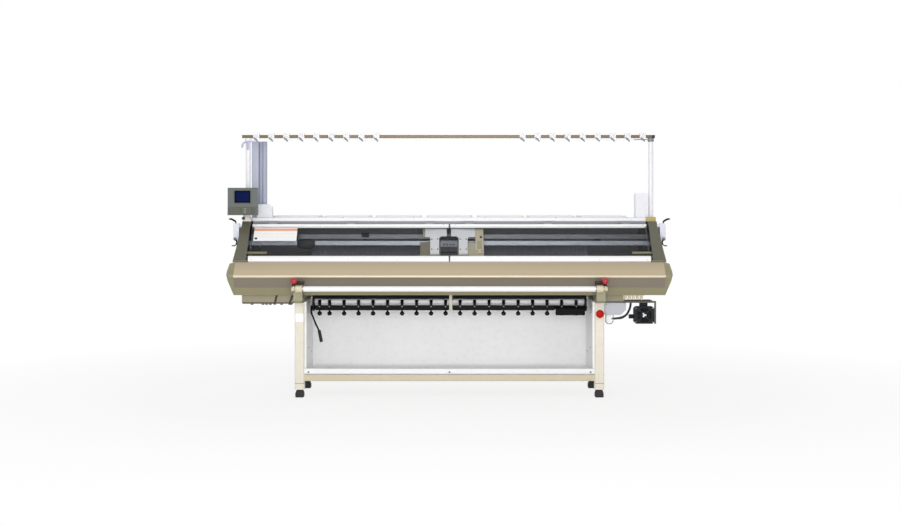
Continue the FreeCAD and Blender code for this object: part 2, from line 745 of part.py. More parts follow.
def feeder_head():
    """Dark head between the arms, on the front cam box, that reaches to the feeder rails."""
    x = (ARM_LEFT + ARM_RIGHT) / 2
    top = CAM_H1 + ARM_T - 2
    outline = [on_bed(CAM_S0, CAM_H1), on_bed(CAM_S0, top + 14), on_bed(CAM_S0 + 40, top + 14),
               on_bed(CAM_S0 + 60, top), on_bed(CAM_S1 - 40, top), on_bed(CAM_S1 - 40, CAM_H1)]
    return prism_x(outline, x - HEAD_W / 2, x + HEAD_W / 2)


def build_carriage():
    front = cam_box()
    head = feeder_head()
    save("carriage_cam_boxes", [front, head, mirror_throat(front), mirror_throat(head)])
    save("carriage_bridge", [bridge_arm(ARM_LEFT), bridge_arm(ARM_RIGHT)])


# ---- windows ----
def hinge_places(side):
    """Middles of a window's three hinges along X."""
    return [side * x for x in (150.0, WINDOW_HALF / 2, WINDOW_HALF - 150.0)]


def window_frame(side):
    """Upper and lower rails of one half cover, with three hinge knuckles."""
    x0 = WINDOW_SPLIT if side > 0 else -WINDOW_HALF
    x1 = WINDOW_HALF if side > 0 else -WINDOW_SPLIT
    front = HINGE_Y - UP_RAIL_T - 6
    upper = box(x0, x1, front, front + UP_RAIL_T, UP_RAIL_Z, UP_RAIL_Z + UP_RAIL_H)
    upper = rounded(upper, 3.0, V(1, 0, 0))
    lower_outline = [(LOW_RAIL_Y, LOW_RAIL_Z), (LOW_RAIL_Y, LOW_RAIL_Z + LOW_RAIL_H - 12),
                     (LOW_RAIL_Y + 10, LOW_RAIL_Z + LOW_RAIL_H),
                     (LOW_RAIL_Y + LOW_RAIL_T, LOW_RAIL_Z + LOW_RAIL_H),
                     (LOW_RAIL_Y + LOW_RAIL_T, LOW_RAIL_Z)]
    lower = prism_x(lower_outline, x0, x1)
    parts = [upper]
    for x in hinge_places(side):
        ear = prism_x([(front + UP_RAIL_T - 1, UP_RAIL_Z + UP_RAIL_H - 12),
                       (HINGE_Y + HINGE_R, HINGE_Z - 2),
                       (HINGE_Y + HINGE_R, HINGE_Z), (HINGE_Y - HINGE_R, HINGE_Z),
                       (front + UP_RAIL_T - 1, UP_RAIL_Z + UP_RAIL_H - 4)], x - KNUCKLE_W / 2,
                      x + KNUCKLE_W / 2)
        parts.append(ear)
        parts.append(facet_bar(HINGE_R, 12, V(x - KNUCKLE_W / 2, HINGE_Y, HINGE_Z),
                               V(x + KNUCKLE_W / 2, HINGE_Y, HINGE_Z)))
    upper = fuse(parts)
    for x in hinge_places(side):
        upper = upper.cut(rod_x(PIN_R + SHAFT_GAP, x - KNUCKLE_W, x + KNUCKLE_W, HINGE_Y, HINGE_Z))
    return [upper, lower]


def window_pane(side):
    """Sloping pane from the lower rail's back to the upper rail's front."""
    x0 = WINDOW_SPLIT if side > 0 else -WINDOW_HALF
    x1 = WINDOW_HALF if side > 0 else -WINDOW_SPLIT
    y0 = LOW_RAIL_Y + LOW_RAIL_T
    z0 = LOW_RAIL_Z + LOW_RAIL_H - 8
    y1 = HINGE_Y - UP_RAIL_T - 6
    z1 = UP_RAIL_Z + 14
    outline = [(y0, z0), (y0, z0 - PANE_T / COS), (y1, z1 - PANE_T / COS), (y1, z1)]
    return prism_x(outline, x0, x1)


def build_windows():
    save("window_frame_left", window_frame(-1))
    save("window_frame_right", window_frame(1))
    save("window_pane_left", window_pane(-1))
    save("window_pane_right", window_pane(1))


# ---- covers ----
def front_cover():
    """Sheet folded round a nose, from the window sill down and back under."""
    path = [(COVER_TOP_Y + COVER_FLANGE, COVER_TOP_Z), (COVER_TOP_Y, COVER_TOP_Z),
            (COVER_NOSE_Y - 4, COVER_NOSE_Z + 5),
            (COVER_LOW_Y, COVER_LOW_Z), (COVER_LOW_Y + 30, COVER_LOW_Z)]
    sheet = sheet_x(path, COVER_T, -COVER_HALF, COVER_HALF)
    inner = offset_path(path, COVER_T)[2]
    sheet = sheet.makeFillet(COVER_NOSE_R, [edge_near(sheet, *min(path[2], inner))])
    sheet = sheet.makeFillet(COVER_NOSE_R - COVER_T, [edge_near(sheet, *max(path[2], inner))])
    return sheet


def lower_cover():
    z1 = COVER_LOW_Z - SEAT_GAP
    path = [(COVER_LOW_Y + 30, z1), (COVER_LOW_Y, z1), (LOWER_Y, LOWER_Z), (BEAM_FRONT - 4, LOWER_Z)]
    return sheet_x(path, COVER_T, -LOWER_HALF, LOWER_HALF)


def end_cap(side):
    """Faceted moulded cap over one end of the bed housing."""
    x0 = COVER_HALF + SEAT_GAP
    section = [(BEAM_FRONT, COVER_TOP_Z - 1), (COVER_TOP_Y, COVER_TOP_Z - 1),
               (COVER_NOSE_Y + 2, COVER_NOSE_Z + 12),
               (COVER_NOSE_Y, COVER_NOSE_Z), (COVER_LOW_Y, COVER_LOW_Z), (LOWER_Y, LOWER_Z),
               (REAR_LOW_Y, LOWER_Z), (REAR_Y, REAR_CHAMFER_Z), (REAR_Y, COVER_TOP_Z - 1)]
    solid = prism_x(section, LOWER_HALF + SEAT_GAP, CAP_OUT)
    solid = fuse([solid, prism_x(section[:5] + [(BEAM_FRONT, COVER_LOW_Z)], x0, CAP_OUT)])
    front_view = [(COVER_HALF, COVER_TOP_Z), (CAP_OUT - 17, 988), (CAP_OUT, 906),
                  (CAP_OUT - 30, COVER_LOW_Z), (CAP_OUT - 47, LOWER_Z), (COVER_HALF, LOWER_Z)]
    cap = solid.common(prism_y(front_view, COVER_NOSE_Y - 10, REAR_Y + 10))
    plan = [(COVER_HALF, COVER_NOSE_Y - 10), (CAP_OUT - 34, COVER_NOSE_Y - 10),
            (CAP_OUT + 1, COVER_NOSE_Y + 40), (CAP_OUT + 1, REAR_Y - 40), (CAP_OUT - 34, REAR_Y + 1),
            (COVER_HALF, REAR_Y + 1)]
    cap = cap.common(prism_z(plan, LOWER_Z - 10, COVER_TOP_Z + 10))
    return cap if side > 0 else mirror_x(cap)


def end_frame(side):
    """Cheek that closes one end of the window and carries the beams, bars and rails."""
    sill = COVER_TOP_Z + 16
    front = LOW_RAIL_Y - 6
    section = [(front, COVER_TOP_Z + SEAT_GAP), (front, sill), (HINGE_Y - 32, DECK_Z - 14),
               (HINGE_Y - 18, DECK_Z),
               (REAR_Y - 4, DECK_Z), (REAR_Y - 4, COVER_TOP_Z + SEAT_GAP)]
    cheek = prism_x(section, FRAME_PLATE_IN, FRAME_OUT_LOW)
    front_view = [(FRAME_PLATE_IN, COVER_TOP_Z), (FRAME_OUT_LOW, COVER_TOP_Z),
                  (FRAME_OUT_LOW - 12, COVER_TOP_Z + 84),
                  (FRAME_OUT_TOP, DECK_Z - 13), (FRAME_OUT_TOP, DECK_Z), (FRAME_IN, DECK_Z),
                  (FRAME_IN, COVER_TOP_Z + 40),
                  (FRAME_PLATE_IN, COVER_TOP_Z + 40)]
    cheek = cheek.common(prism_y(front_view, front - 10, REAR_Y + 10))
    plate = box(FRAME_PLATE_IN, FRAME_PLATE_OUT, COVER_TOP_Y + COVER_FLANGE + 2, REAR_Y - 20,
                BEAM_BOTTOM, COVER_TOP_Z + 5)
    plate = chamfered(plate, 30, V(1, 0, 0))
    frame = fuse([cheek, plate])
    return frame if side > 0 else mirror_x(frame)


def rear_cover():
    """Back sheet with two banks of louvres, folded in at the bottom."""
    path = [(BEAM_BACK + 4, LOWER_Z), (REAR_LOW_Y, LOWER_Z), (REAR_Y, REAR_CHAMFER_Z),
            (REAR_Y, DECK_Z - SEAT_GAP)]
    sheet = sheet_x(path, COVER_T, -COVER_HALF, COVER_HALF)
    cuts = []
    for bank in (-900.0, 900.0):
        for i in range(6):
            z = 1060 + i * 26
            cuts.append(box(bank - 150, bank + 150, REAR_Y - 10, REAR_Y + 10, z, z + 8))
    return sheet.cut(cuts)


def hood():
    """Deck over the machine with a rounded front edge and the hinge lugs below it."""
    deck = box(-DECK_HALF, DECK_HALF, 0, REAR_Y + 6, DECK_Z, DECK_Z + DECK_T)
    nose = box(-HOOD_HALF, HOOD_HALF, HOOD_Y, 0, DECK_Z, DECK_Z + DECK_T)
    nose = nose.makeFillet(6.0, [e for e in edges_along(nose, V(1, 0, 0)) if e.BoundBox.YMax < HOOD_Y + 1])
    strip = box(-HOOD_HALF, HOOD_HALF, HOOD_Y + 6, HOOD_Y + 14, UP_RAIL_Z + UP_RAIL_H, DECK_Z)
    parts = [deck, nose, strip]
    for side in (-1, 1):
        for x in hinge_places(side):
            for end in (-1, 1):
                cx = x + end * (KNUCKLE_W / 2 + LUG_W / 2 + RUN_GAP)
                lug = box(cx - LUG_W / 2, cx + LUG_W / 2, HINGE_Y - 6, HOOD_Y + 8, HINGE_Z - 6, HINGE_Z + 6)
                parts.append(chamfered(lug, 2.5, V(1, 0, 0)))
            parts.append(rod_x(PIN_R, x - KNUCKLE_W / 2 - 2, x + KNUCKLE_W / 2 + 2, HINGE_Y, HINGE_Z))
    return fuse(parts)


def tray(index):
    """One lipped tray of the yarn table."""
    cx = (index - (TRAY_N - 1) / 2) * TRAY_PITCH
    z0 = DECK_Z + DECK_T
    block = box(cx - TRAY_W / 2, cx + TRAY_W / 2, TRAY_FRONT, HALF_DEPTH, z0, z0 + TRAY_H)
    block = chamfered(block, 12.0, V(0, 0, 1))
    well = box(cx - TRAY_W / 2 + 4, cx + TRAY_W / 2 - 4, TRAY_FRONT + 4, HALF_DEPTH - 4, z0 + 3,
               z0 + TRAY_H + 1)
    well = chamfered(well, 9.5, V(0, 0, 1))
    return block.cut(well)


def inner_wall():
    half = FRAME_PLATE_IN - SEAT_GAP
    return box(-half, half, INNER_Y, INNER_Y + 3, BEAM_BOTTOM + 40, DECK_Z)


def build_covers():
    save("front_cover", front_cover())
    save("lower_cover", lower_cover())
    save("end_caps", [end_cap(-1), end_cap(1)])
    save("end_frame_left", end_frame(-1))
    save("end_frame_right", end_frame(1))
    save("rear_cover", rear_cover())
    save("hood", hood())
    save("yarn_trays", [tray(i) for i in range(TRAY_N)])
    save("inner_wall", inner_wall())


# ---- takedown ----
PINCH_Y = ROLL_Y - ROLL_R - PINCH_R - PINCH_GAP
PRESS_AT = [PRESS_EXTRA] + [PRESS_FIRST + i * PRESS_PITCH for i in range(PRESS_N)]


def end_plate(side):
    """Black plate hung from the bed beams, with bores for the two shafts."""
    x0 = PLATE_IN if side > 0 else -PLATE_IN - PLATE_T
    outline = [(PLATE_FRONT, PLATE_Z + 12), (PLATE_FRONT + 12, PLATE_Z), (PLATE_BACK - 12, PLATE_Z),
               (PLATE_BACK, PLATE_Z + 12), (PLATE_BACK, BEAM_BOTTOM), (PLATE_FRONT, BEAM_BOTTOM)]
    plate = prism_x(outline, x0, x0 + PLATE_T)
    plate = plate.cut(rod_x(AXLE_R + SHAFT_GAP, x0 - 1, x0 + PLATE_T + 1, ROLL_Y, ROLL_Z))
    return plate.cut(rod_x(JOURNAL_R + SHAFT_GAP, x0 - 1, x0 + PLATE_T + 1, PRESS_Y, PRESS_Z))


def takedown_frame():
    bar = box(-PLATE_IN, PLATE_IN, PLATE_FRONT, PLATE_FRONT + TOP_BAR_T, TOP_BAR_Z, TOP_BAR_Z + TOP_BAR_H)
    hangers = [box(x - 20, x + 20, PLATE_FRONT, PLATE_FRONT + 8, TOP_BAR_Z, BEAM_BOTTOM)
               for x in (-HANGER_X, HANGER_X)]
    return fuse([end_plate(-1), end_plate(1), bar] + hangers)


def gearbox():
    """Drive case of the takedown, held by a lug on the right end plate's inner face."""
    case = box(PLATE_IN - GEARBOX_LEN, PLATE_IN - 8, -178, -140, 596, 643)
    case = chamfered(case, 5, V(0, 1, 0))
    arm = box(PLATE_IN - 16, PLATE_IN - 8, -142, PLATE_FRONT + 10, 600, 634)
    lug = box(PLATE_IN - 16, PLATE_IN - SEAT_GAP, PLATE_FRONT + 8, PLATE_FRONT + 40, 624, 634)
    return fuse([case, arm, lug])


def takedown_roller():
    """Long roller with short axles at its ends."""
    length = PLATE_IN - 3
    barrel = rod_x(ROLL_R, -length, length, ROLL_Y, ROLL_Z)
    axle = rod_x(AXLE_R, -PLATE_IN - PLATE_T - 4, PLATE_IN + PLATE_T + 4, ROLL_Y, ROLL_Z)
    return fuse([barrel, axle])


def pinch_rollers():
    """Short rollers on one shaft, one between each pair of pressure arms."""
    ends = PRESS_AT + [PRESS_AT[-1] + 54]
    rollers = []
    for a, b in zip(ends[:-1], ends[1:]):
        x0 = a + PRESS_W / 2 + 3
        x1 = min(b - PRESS_W / 2 - 3, PLATE_IN - 6)
        rollers.append(facet_bar(PINCH_R, 12, V(x0, PINCH_Y, ROLL_Z), V(x1, PINCH_Y, ROLL_Z)))
    left_end = PRESS_AT[0] - PRESS_W / 2 - 6
    right_end = ends[-1] - 20
    shaft = [facet_bar(AXLE_R, 10, V(left_end, PINCH_Y, ROLL_Z), V(right_end, PINCH_Y, ROLL_Z))]
    shaft.append(rod_x(AXLE_R, left_end, PRESS_AT[0] + PRESS_W / 2 + 3, PINCH_Y, ROLL_Z))
    shaft.append(rod_x(AXLE_R, PRESS_AT[-1] - PRESS_W / 2 - 3, right_end, PINCH_Y, ROLL_Z))
    return fuse(shaft + rollers)


def pressure_arm(x, is_end):
    """Arm on the pressure shaft that carries the pinch shaft: an eye at the ends, a fork between them."""
    outline = [(PRESS_Y - 16, PRESS_Z - 22), (PRESS_Y - 16, ROLL_Z - 6), (PINCH_Y - 14, ROLL_Z + 12),
               (PINCH_Y + 10, ROLL_Z + 12), (PINCH_Y + 12, ROLL_Z - 10), (PRESS_Y + 14, PRESS_Z - 22)]
    arm = prism_x(outline, x - PRESS_W / 2, x + PRESS_W / 2)
    if is_end:
        return arm.cut(rod_x(AXLE_R + SHAFT_GAP, x - PRESS_W, x + PRESS_W, PINCH_Y, ROLL_Z))
    grip = AXLE_R + SHAFT_GAP
    return arm.cut(box(x - PRESS_W, x + PRESS_W, PINCH_Y - grip, PINCH_Y + 13, ROLL_Z - grip,
                       ROLL_Z + grip))


def pressure_knob(x):
    """Turned ball knob with a thin neck below an arm."""
    y = PRESS_Y - 2
    return [facet_ball(KNOB_R, 10, V(x, y, KNOB_Z)),
            facet_bar(NECK_R, 4, V(x, y, KNOB_Z), V(x, y, PRESS_Z - 20))]


def pressure_frame():
    shaft = facet_bar(PRESS_R, 12, V(-PLATE_IN + 2, PRESS_Y, PRESS_Z), V(PLATE_IN - 2, PRESS_Y, PRESS_Z))
    journal = rod_x(JOURNAL_R, -PLATE_IN - PLATE_T - 14, PLATE_IN + PLATE_T + 4, PRESS_Y, PRESS_Z)
    parts = [shaft, journal]
    for x in PRESS_AT:
        parts.append(pressure_arm(x, x in (PRESS_AT[0], PRESS_AT[-1])))
        parts += pressure_knob(x)
    return fuse(parts)


def release_lever():
    """Cranked lever clamped on the pressure shaft's left end, with a sleeve grip."""
    hub_x = -PLATE_IN - PLATE_T
    y = PRESS_Y
    hub = rod_x(JOURNAL_R + 7, hub_x - 13, hub_x - 2, y, PRESS_Z)
    hub = hub.cut(rod_x(JOURNAL_R, hub_x - 20, hub_x + 2, y, PRESS_Z))
    points = [V(hub_x - 7.5, y - 12, PRESS_Z - 3), V(hub_x - 6, y - 38, 616), V(hub_x + 8, y - 44, 582),
              V(hub_x + 29, y - 46, 529), V(hub_x + 55, y - 47, 477)]
    parts = []
    for a, b in zip(points[:-1], points[1:]):
        parts.append(facet_bar(LEVER_R, 12, a, b))
        parts.append(facet_ball(LEVER_R, 12, b, b - a))
    grip_end = V(hub_x + 71, y - 48, 399)
    parts.append(facet_bar(GRIP_R, 12, points[-1], grip_end))
    bar = fuse(parts)
    bar = bar.cut(rod_x(JOURNAL_R, hub_x - 20, hub_x + 2, y, PRESS_Z))
    return fuse([hub, bar])


def centre_strut():
    """Cream strut that ties the takedown's top bar up to the front bed beam."""
    near = PLATE_FRONT - SEAT_GAP
    outline = [(near - 4, 638), (near - 4, TOP_BAR_Z - 4), (near, TOP_BAR_Z), (near, BEAM_BOTTOM),
               (near - 12, BEAM_BOTTOM), (near - 18, TOP_BAR_Z + 4), (near - 18, 638)]
    return prism_x(outline, -STRUT_LEFT, STRUT_W - STRUT_LEFT)


def build_takedown():
    save("takedown_frame", [takedown_frame(), gearbox()])
    save("takedown_roller", takedown_roller())
    save("pinch_rollers", pinch_rollers())
    save("pressure_frame", [pressure_frame(), release_lever()])
    save("takedown_strut", centre_strut())


# ---- start bar ----
def start_bracket(side):
    """Cream bearing bracket on a leg block's horn."""
    z0 = CAP_HORN_TOP
    ring = facet_bar(BRACKET_R, 12, V(BRACKET_IN, START_Y, START_Z), V(BRACKET_OUT, START_Y, START_Z))
    foot_back = LEG_FRONT - CAP_ARM_REACH + CAP_HORN_T
    plate = box(BRACKET_IN, LEG_OUTER - 2 * CAP_INSET, START_Y, foot_back, z0, z0 + 14)
    web = prism_x([(START_Y, START_Z - 10), (START_Y, START_Z + BRACKET_R), (foot_back - 14, z0 + 30),
                   (foot_back, z0 + 14), (foot_back, z0)], BRACKET_IN, BRACKET_OUT)
    body = fuse([ring, plate, web])
    body = body.cut(rod_x(START_JOURNAL_R + SHAFT_GAP, BRACKET_IN - 1, LEG_OUTER + 9, START_Y, START_Z))
    body = body.cut(box(BRACKET_OUT, LEG_OUTER + 9, START_Y - 30, START_Y + 24, z0 - 20, z0 + 40))
    body = body.cut(box(BRACKET_IN - 1, LEG_OUTER, foot_back - CAP_HORN_T, foot_back + 1, z0 - 30, z0))
    return body if side > 0 else mirror_x(body)


def start_bar():
    """Round bar in two brackets, with a crank and a red ball beyond each bracket."""
    bar = rod_x(START_R, -START_HALF, START_HALF, START_Y, START_Z)
    journal = rod_x(START_JOURNAL_R, -START_END, START_END, START_Y, START_Z)
    return fuse([bar, journal])


def start_crank(side):
    """Crank arm that rises from the journal's end to its ball."""
    x0 = START_END - CRANK_T
    ball_foot = BALL_Z - BALL_R * math.sin(math.radians(BALL_FLAT))
    outline = [(START_Y - CRANK_R, START_Z - 4), (START_Y - CRANK_R, ball_foot),
               (START_Y + CRANK_R, ball_foot),
               (START_Y + CRANK_R, START_Z - 4)]
    arm = prism_x(outline, x0, START_END)
    arm = fuse([arm, facet_bar(CRANK_R + 5, 12, V(x0, START_Y, START_Z), V(START_END, START_Y, START_Z))])
    arm = arm.cut(rod_x(START_JOURNAL_R, x0 - 1, START_END + 1, START_Y, START_Z))
    ball = facet_ball(BALL_R, 16, V(START_END - CRANK_T / 2, START_Y, BALL_Z))
    pair = [arm, ball]
    return pair if side > 0 else [mirror_x(item) for item in pair]


def build_start_bar():
    left = start_crank(-1)
    right = start_crank(1)
    save("start_bar", [start_bar(), left[0], right[0]])
    save("start_balls", [left[1], right[1]])
    save("start_brackets", [start_bracket(-1), start_bracket(1)])


# ---- stop button ----
def build_stop():
    face = LEG_FRONT
    collar = facet_bar(STOP_COLLAR_R, 24, V(STOP_X, face, STOP_Z), V(STOP_X, face - STOP_COLLAR_H, STOP_Z))
    collar = collar.cut(rod_y(STOP_STEM_R + SHAFT_GAP, face - STOP_COLLAR_H - 1, face - 1, STOP_X, STOP_Z))
    save("stop_collar", collar)
    under = face - STOP_COLLAR_H - STOP_TRAVEL - 1
    rings = [(STOP_R - 4, 0), (STOP_R, 5), (STOP_R * 0.92, 11), (STOP_R * 0.72, 16),
             (STOP_R * 0.42, STOP_DOME + 5)]
    cap = turned(rings, 24, place_along(V(STOP_X, under, STOP_Z), V(0, -1, 0)))
    stem = rod_y(STOP_STEM_R, under - 2, face - 1.5 - STOP_TRAVEL, STOP_X, STOP_Z)
    save("stop_button", fuse([cap, stem]))


# ---- yarn stand ----
def pole(side):
    z0 = DECK_Z + DECK_T
    x = side * POLE_X
    post = rod_z(POLE_R, z0, BAR_Z - BAR_H / 2, x, POLE_Y)
    flange = facet_bar(POLE_R + 9, 12, V(x, POLE_Y, z0), V(x, POLE_Y, z0 + 6))
    clamp = facet_bar(POLE_R + POLE_CLAMP, 12, V(x, POLE_Y, BAR_Z - BAR_H / 2 - 26),
                      V(x, POLE_Y, BAR_Z - BAR_H / 2))
    return fuse([post, flange, clamp])


def top_bar():
    bar = box(BAR_LEFT, BAR_RIGHT, POLE_Y - BAR_D / 2, POLE_Y + BAR_D / 2, BAR_Z - BAR_H / 2,
              BAR_Z + BAR_H / 2)
    return rounded(bar, 3.0, V(1, 0, 0))


def tensioner(x):
    """White yarn tensioner hooked over the top bar, with a slanting spring tip in front."""
    t = 4.0
    front = POLE_Y - BAR_D / 2 - SEAT_GAP
    back = POLE_Y + BAR_D / 2 + SEAT_GAP
    top = BAR_Z + BAR_H / 2 + SEAT_GAP
    outline = [(front, BAR_Z - 14), (front, top), (back, top), (back, BAR_Z - 4), (back + t, BAR_Z - 4),
               (back + t, top + 8), (front + 6, OVERALL_HEIGHT), (front - 6, OVERALL_HEIGHT),
               (front - 9, top),
               (front - t, BAR_Z - 14)]
    body = prism_x(outline, x - TENSION_W / 2, x + TENSION_W / 2)
    tip = facet_bar(3.0, 4, V(x - 6, front - 3, BAR_Z - 6), V(x + 10, front - 20, BAR_Z - 34))
    disc = facet_bar(9.0, 8, V(x, front - 3, BAR_Z + 4), V(x, front - 18, BAR_Z + 4))
    return fuse([body, tip, disc])


def arch_bracket():
    """Curved plate on the left pole that leads the cables from the column to the bar."""
    out = BAR_LEFT - 5
    inner = BAR_LEFT + 112
    top = BAR_Z - BAR_H / 2 - 20
    outline = [(out, top - 53), (out + 14, top - 53), (out + 18, top - 28), (out + 40, top - 13),
               (inner, top - 13),
               (inner, top), (out + 34, top), (out + 10, top - 14), (out, top - 34)]
    y = POLE_Y - POLE_R - 3
    return prism_y(outline, y, y + 6)


def thin_rail():
    z1 = BAR_Z - BAR_H / 2 - RAIL_DROP
    y = POLE_Y - BAR_D / 2 - 6
    rail = box(-POLE_X, POLE_X, y, y + RAIL_H, z1 - RAIL_H, z1)
    ends = [rod_z(POLE_R + POLE_CLAMP, z1 - 20, z1 + 10, side * POLE_X, POLE_Y) for side in (-1, 1)]
    return rail.cut(ends)


def build_yarn_stand():
    save("yarn_poles", [fuse([pole(-1), arch_bracket()]), pole(1), thin_rail()])
    save("top_bar", top_bar())
    places = [s * (TENSION_FIRST + i * TENSION_PITCH) for s in (-1, 1) for i in range(TENSION_N)]
    save("yarn_tensioners", [tensioner(x) for x in places])
    z0 = DECK_Z + DECK_T
    duct = box(DUCT_X, DUCT_X + DUCT_W, DUCT_Y, DUCT_Y + DUCT_D, z0, DUCT_TOP)
    duct = chamfered(duct, 3.0, V(0, 0, 1))
    conduit = rod_z(CONDUIT_R, z0, DUCT_TOP, CONDUIT_X, DUCT_Y + DUCT_D / 2)
    tie = box(DUCT_X + DUCT_W - 2, CONDUIT_X, DUCT_Y + 18, DUCT_Y + 26, z0, DUCT_TOP)
    save("cable_column", fuse([duct, conduit, tie]))
    near = 73 - POLE_X
    far = near + SUPPLY_LEFT_W
    left = prism_y([(near, z0), (far, z0), (far, z0 + 78), (far - 24, z0 + 102), (near, z0 + 102)], 10, 96)
    right = box(POLE_X - 30 - SUPPLY_RIGHT_W, POLE_X - 30, 10, 96, z0, z0 + 187)
    right = chamfered(right, 6.0, V(0, 1, 0))
    save("supply_boxes", [left, right])
    block = box(POLE_X - 58, POLE_X + 22, HINGE_Y + 2, -12, DECK_Z + 0.0, DECK_Z + 34)
    block = block.cut(box(POLE_X - 60, HOOD_HALF + 1, HINGE_Y, -10, DECK_Z - 1, DECK_Z + 40))
    save("pole_block", chamfered(block, 5.0, V(0, 1, 0)))


# ---- operator's screen ----
def monitor_bracket():
    z0 = DECK_Z
    base = box(MON_PIVOT_X - 10, MON_PIVOT_X + 50, HINGE_Y - 16, -10, z0, z0 + 16)
    neck = facet_bar(MON_PIVOT_R + 8, 12, V(MON_PIVOT_X + 20, MON_PIVOT_Y + 14, z0 + 10),
                     V(MON_PIVOT_X + 20, MON_PIVOT_Y + 14, MON_Z - 10))
    arm = box(MON_PIVOT_X - 14, MON_PIVOT_X + 30, MON_PIVOT_Y - 16, MON_PIVOT_Y + 30, z0 + 12, MON_Z - 14)
    arm = chamfered(arm, 10.0, V(0, 0, 1))
    pin = rod_z(MON_PIVOT_R, z0 + 12, MON_Z + 30, MON_PIVOT_X, MON_PIVOT_Y)
    return fuse([base, neck, arm, pin])


def monitor_case():
    """Case with a recessed screen and a sloping key panel, on a swivel socket behind it."""
    x0 = -HALF_WIDTH
    x1 = x0 + MON_W
    side_view = [(MON_Y, MON_Z + 62), (MON_Y - 8, MON_Z + 8), (MON_Y - 8, MON_Z), (MON_Y + MON_D, MON_Z),
                 (MON_Y + MON_D, MON_Z + MON_H - 14), (MON_Y + MON_D - 14, MON_Z + MON_H),
                 (MON_Y, MON_Z + MON_H)]
    case = prism_x(side_view, x0, x1)
    sx = (x0 + x1) / 2
    sz = MON_Z + MON_H - 22 - SCREEN_H
    recess = box(sx - SCREEN_W / 2 - 5, sx + SCREEN_W / 2 + 5, MON_Y - 1, MON_Y + 5, sz - 5,
                 sz + SCREEN_H + 5)
    case = case.cut(recess)
    back = MON_Y + MON_D
    neck = box(MON_PIVOT_X - 22, MON_PIVOT_X + 22, back - 1, MON_PIVOT_Y, MON_Z + 2, MON_Z + 60)
    socket = facet_bar(MON_PIVOT_R + 11, 12, V(MON_PIVOT_X, MON_PIVOT_Y, MON_Z + 2),
                       V(MON_PIVOT_X, MON_PIVOT_Y, MON_Z + 60))
    case = fuse([case, neck, socket])
    return case.cut(rod_z(MON_PIVOT_R + SHAFT_GAP, MON_Z, MON_Z + 31, MON_PIVOT_X, MON_PIVOT_Y))


def monitor_screen():
    sx = -HALF_WIDTH + MON_W / 2
    sz = MON_Z + MON_H - 22 - SCREEN_H
    return box(sx - SCREEN_W / 2, sx + SCREEN_W / 2, MON_Y + 2, MON_Y + 5, sz, sz + SCREEN_H)


def build_monitor():
    save("monitor_bracket", monitor_bracket())
    save("monitor_case", monitor_case())
    save("monitor_screen", monitor_screen())


# ---- side tension units ----
def side_box(side):
    """Slim box on an end frame with a pivot pin at its foot."""
    body = box(SIDE_IN + 16, SIDE_OUT, SIDE_Y, SIDE_Y + SIDE_D, SIDE_Z, SIDE_Z + SIDE_H)
    body = chamfered(body, 8.0, V(0, 1, 0))
    foot = box(FRAME_OUT_TOP - 2, SIDE_IN + 50, SIDE_Y + 20, SIDE_Y + SIDE_D, SIDE_Z + SIDE_H - 24,
               SIDE_Z + SIDE_H - 6)
    unit = fuse([body, foot]).cut(end_frame(1))
    pin = rod_y(SIDE_PIN_R, SIDE_Y - 16, SIDE_Y + 4, SIDE_OUT - SIDE_PIN_IN, SIDE_Z + SIDE_PIN_UP)
    y = SIDE_Y + 20
    top = SIDE_Z + SIDE_H
    route = [V(SIDE_OUT - 18, y, top - 8), V(SIDE_OUT - 16, y, top + 14), V(HALF_WIDTH - 18, y, top + 33),
             V(HALF_WIDTH, y, top + 33)]
    guide = []
    for a, b in zip(route[:-1], route[1:]):
        guide.append(facet_bar(GUIDE_ROD_R, 8, a, b))
    guide += [facet_ball(GUIDE_ROD_R, 8, b, b - a) for a, b in zip(route[:-2], route[1:-1])]
    unit = fuse([unit, pin] + guide)
    return unit if side > 0 else mirror_x(unit)


def side_arm(side):
    """Sprung wire arm: an eye on the pin and a hook that curls down and out."""
    y0 = SIDE_Y - 12
    cx = SIDE_OUT - SIDE_PIN_IN
    cz = SIDE_Z + SIDE_PIN_UP
    eye = facet_bar(10.0, 12, V(cx, y0 - 2, cz), V(cx, y0 + 8, cz))
    bends = [(-4, -6), (-14, -24), (-9, -42), (6, -52), (22, -50)]
    hook = [V(cx + dx, y0 + 3, cz + dz) for dx, dz in bends]
    parts = [eye]
    for a, b in zip(hook[:-1], hook[1:]):
        parts.append(facet_bar(SPRING_R, 8, a, b))
        parts.append(facet_ball(SPRING_R, 8, b, b - a))
    arm = fuse(parts)
    arm = arm.cut(rod_y(SIDE_PIN_R + SHAFT_GAP, y0 - 5, y0 + 12, cx, cz))
    return arm if side > 0 else mirror_x(arm)


def build_side_tension():
    save("side_boxes", [side_box(-1), side_box(1)])
    save("side_arm_left", side_arm(-1))
    save("side_arm_right", side_arm(1))


# ---- below the beds ----
def fan_blade(angle):
    """One pitched blade from the hub to just inside the duct."""
    reach = FAN_BORE - FAN_TIP_GAP
    blade = box(FAN_HUB_R - 3, reach, -2, 2, -15, 15)
    blade.rotate(V(0, 0, 0), V(1, 0, 0), 35)
    blade.rotate(V(0, 0, 0), V(0, 0, 1), angle)
    return blade


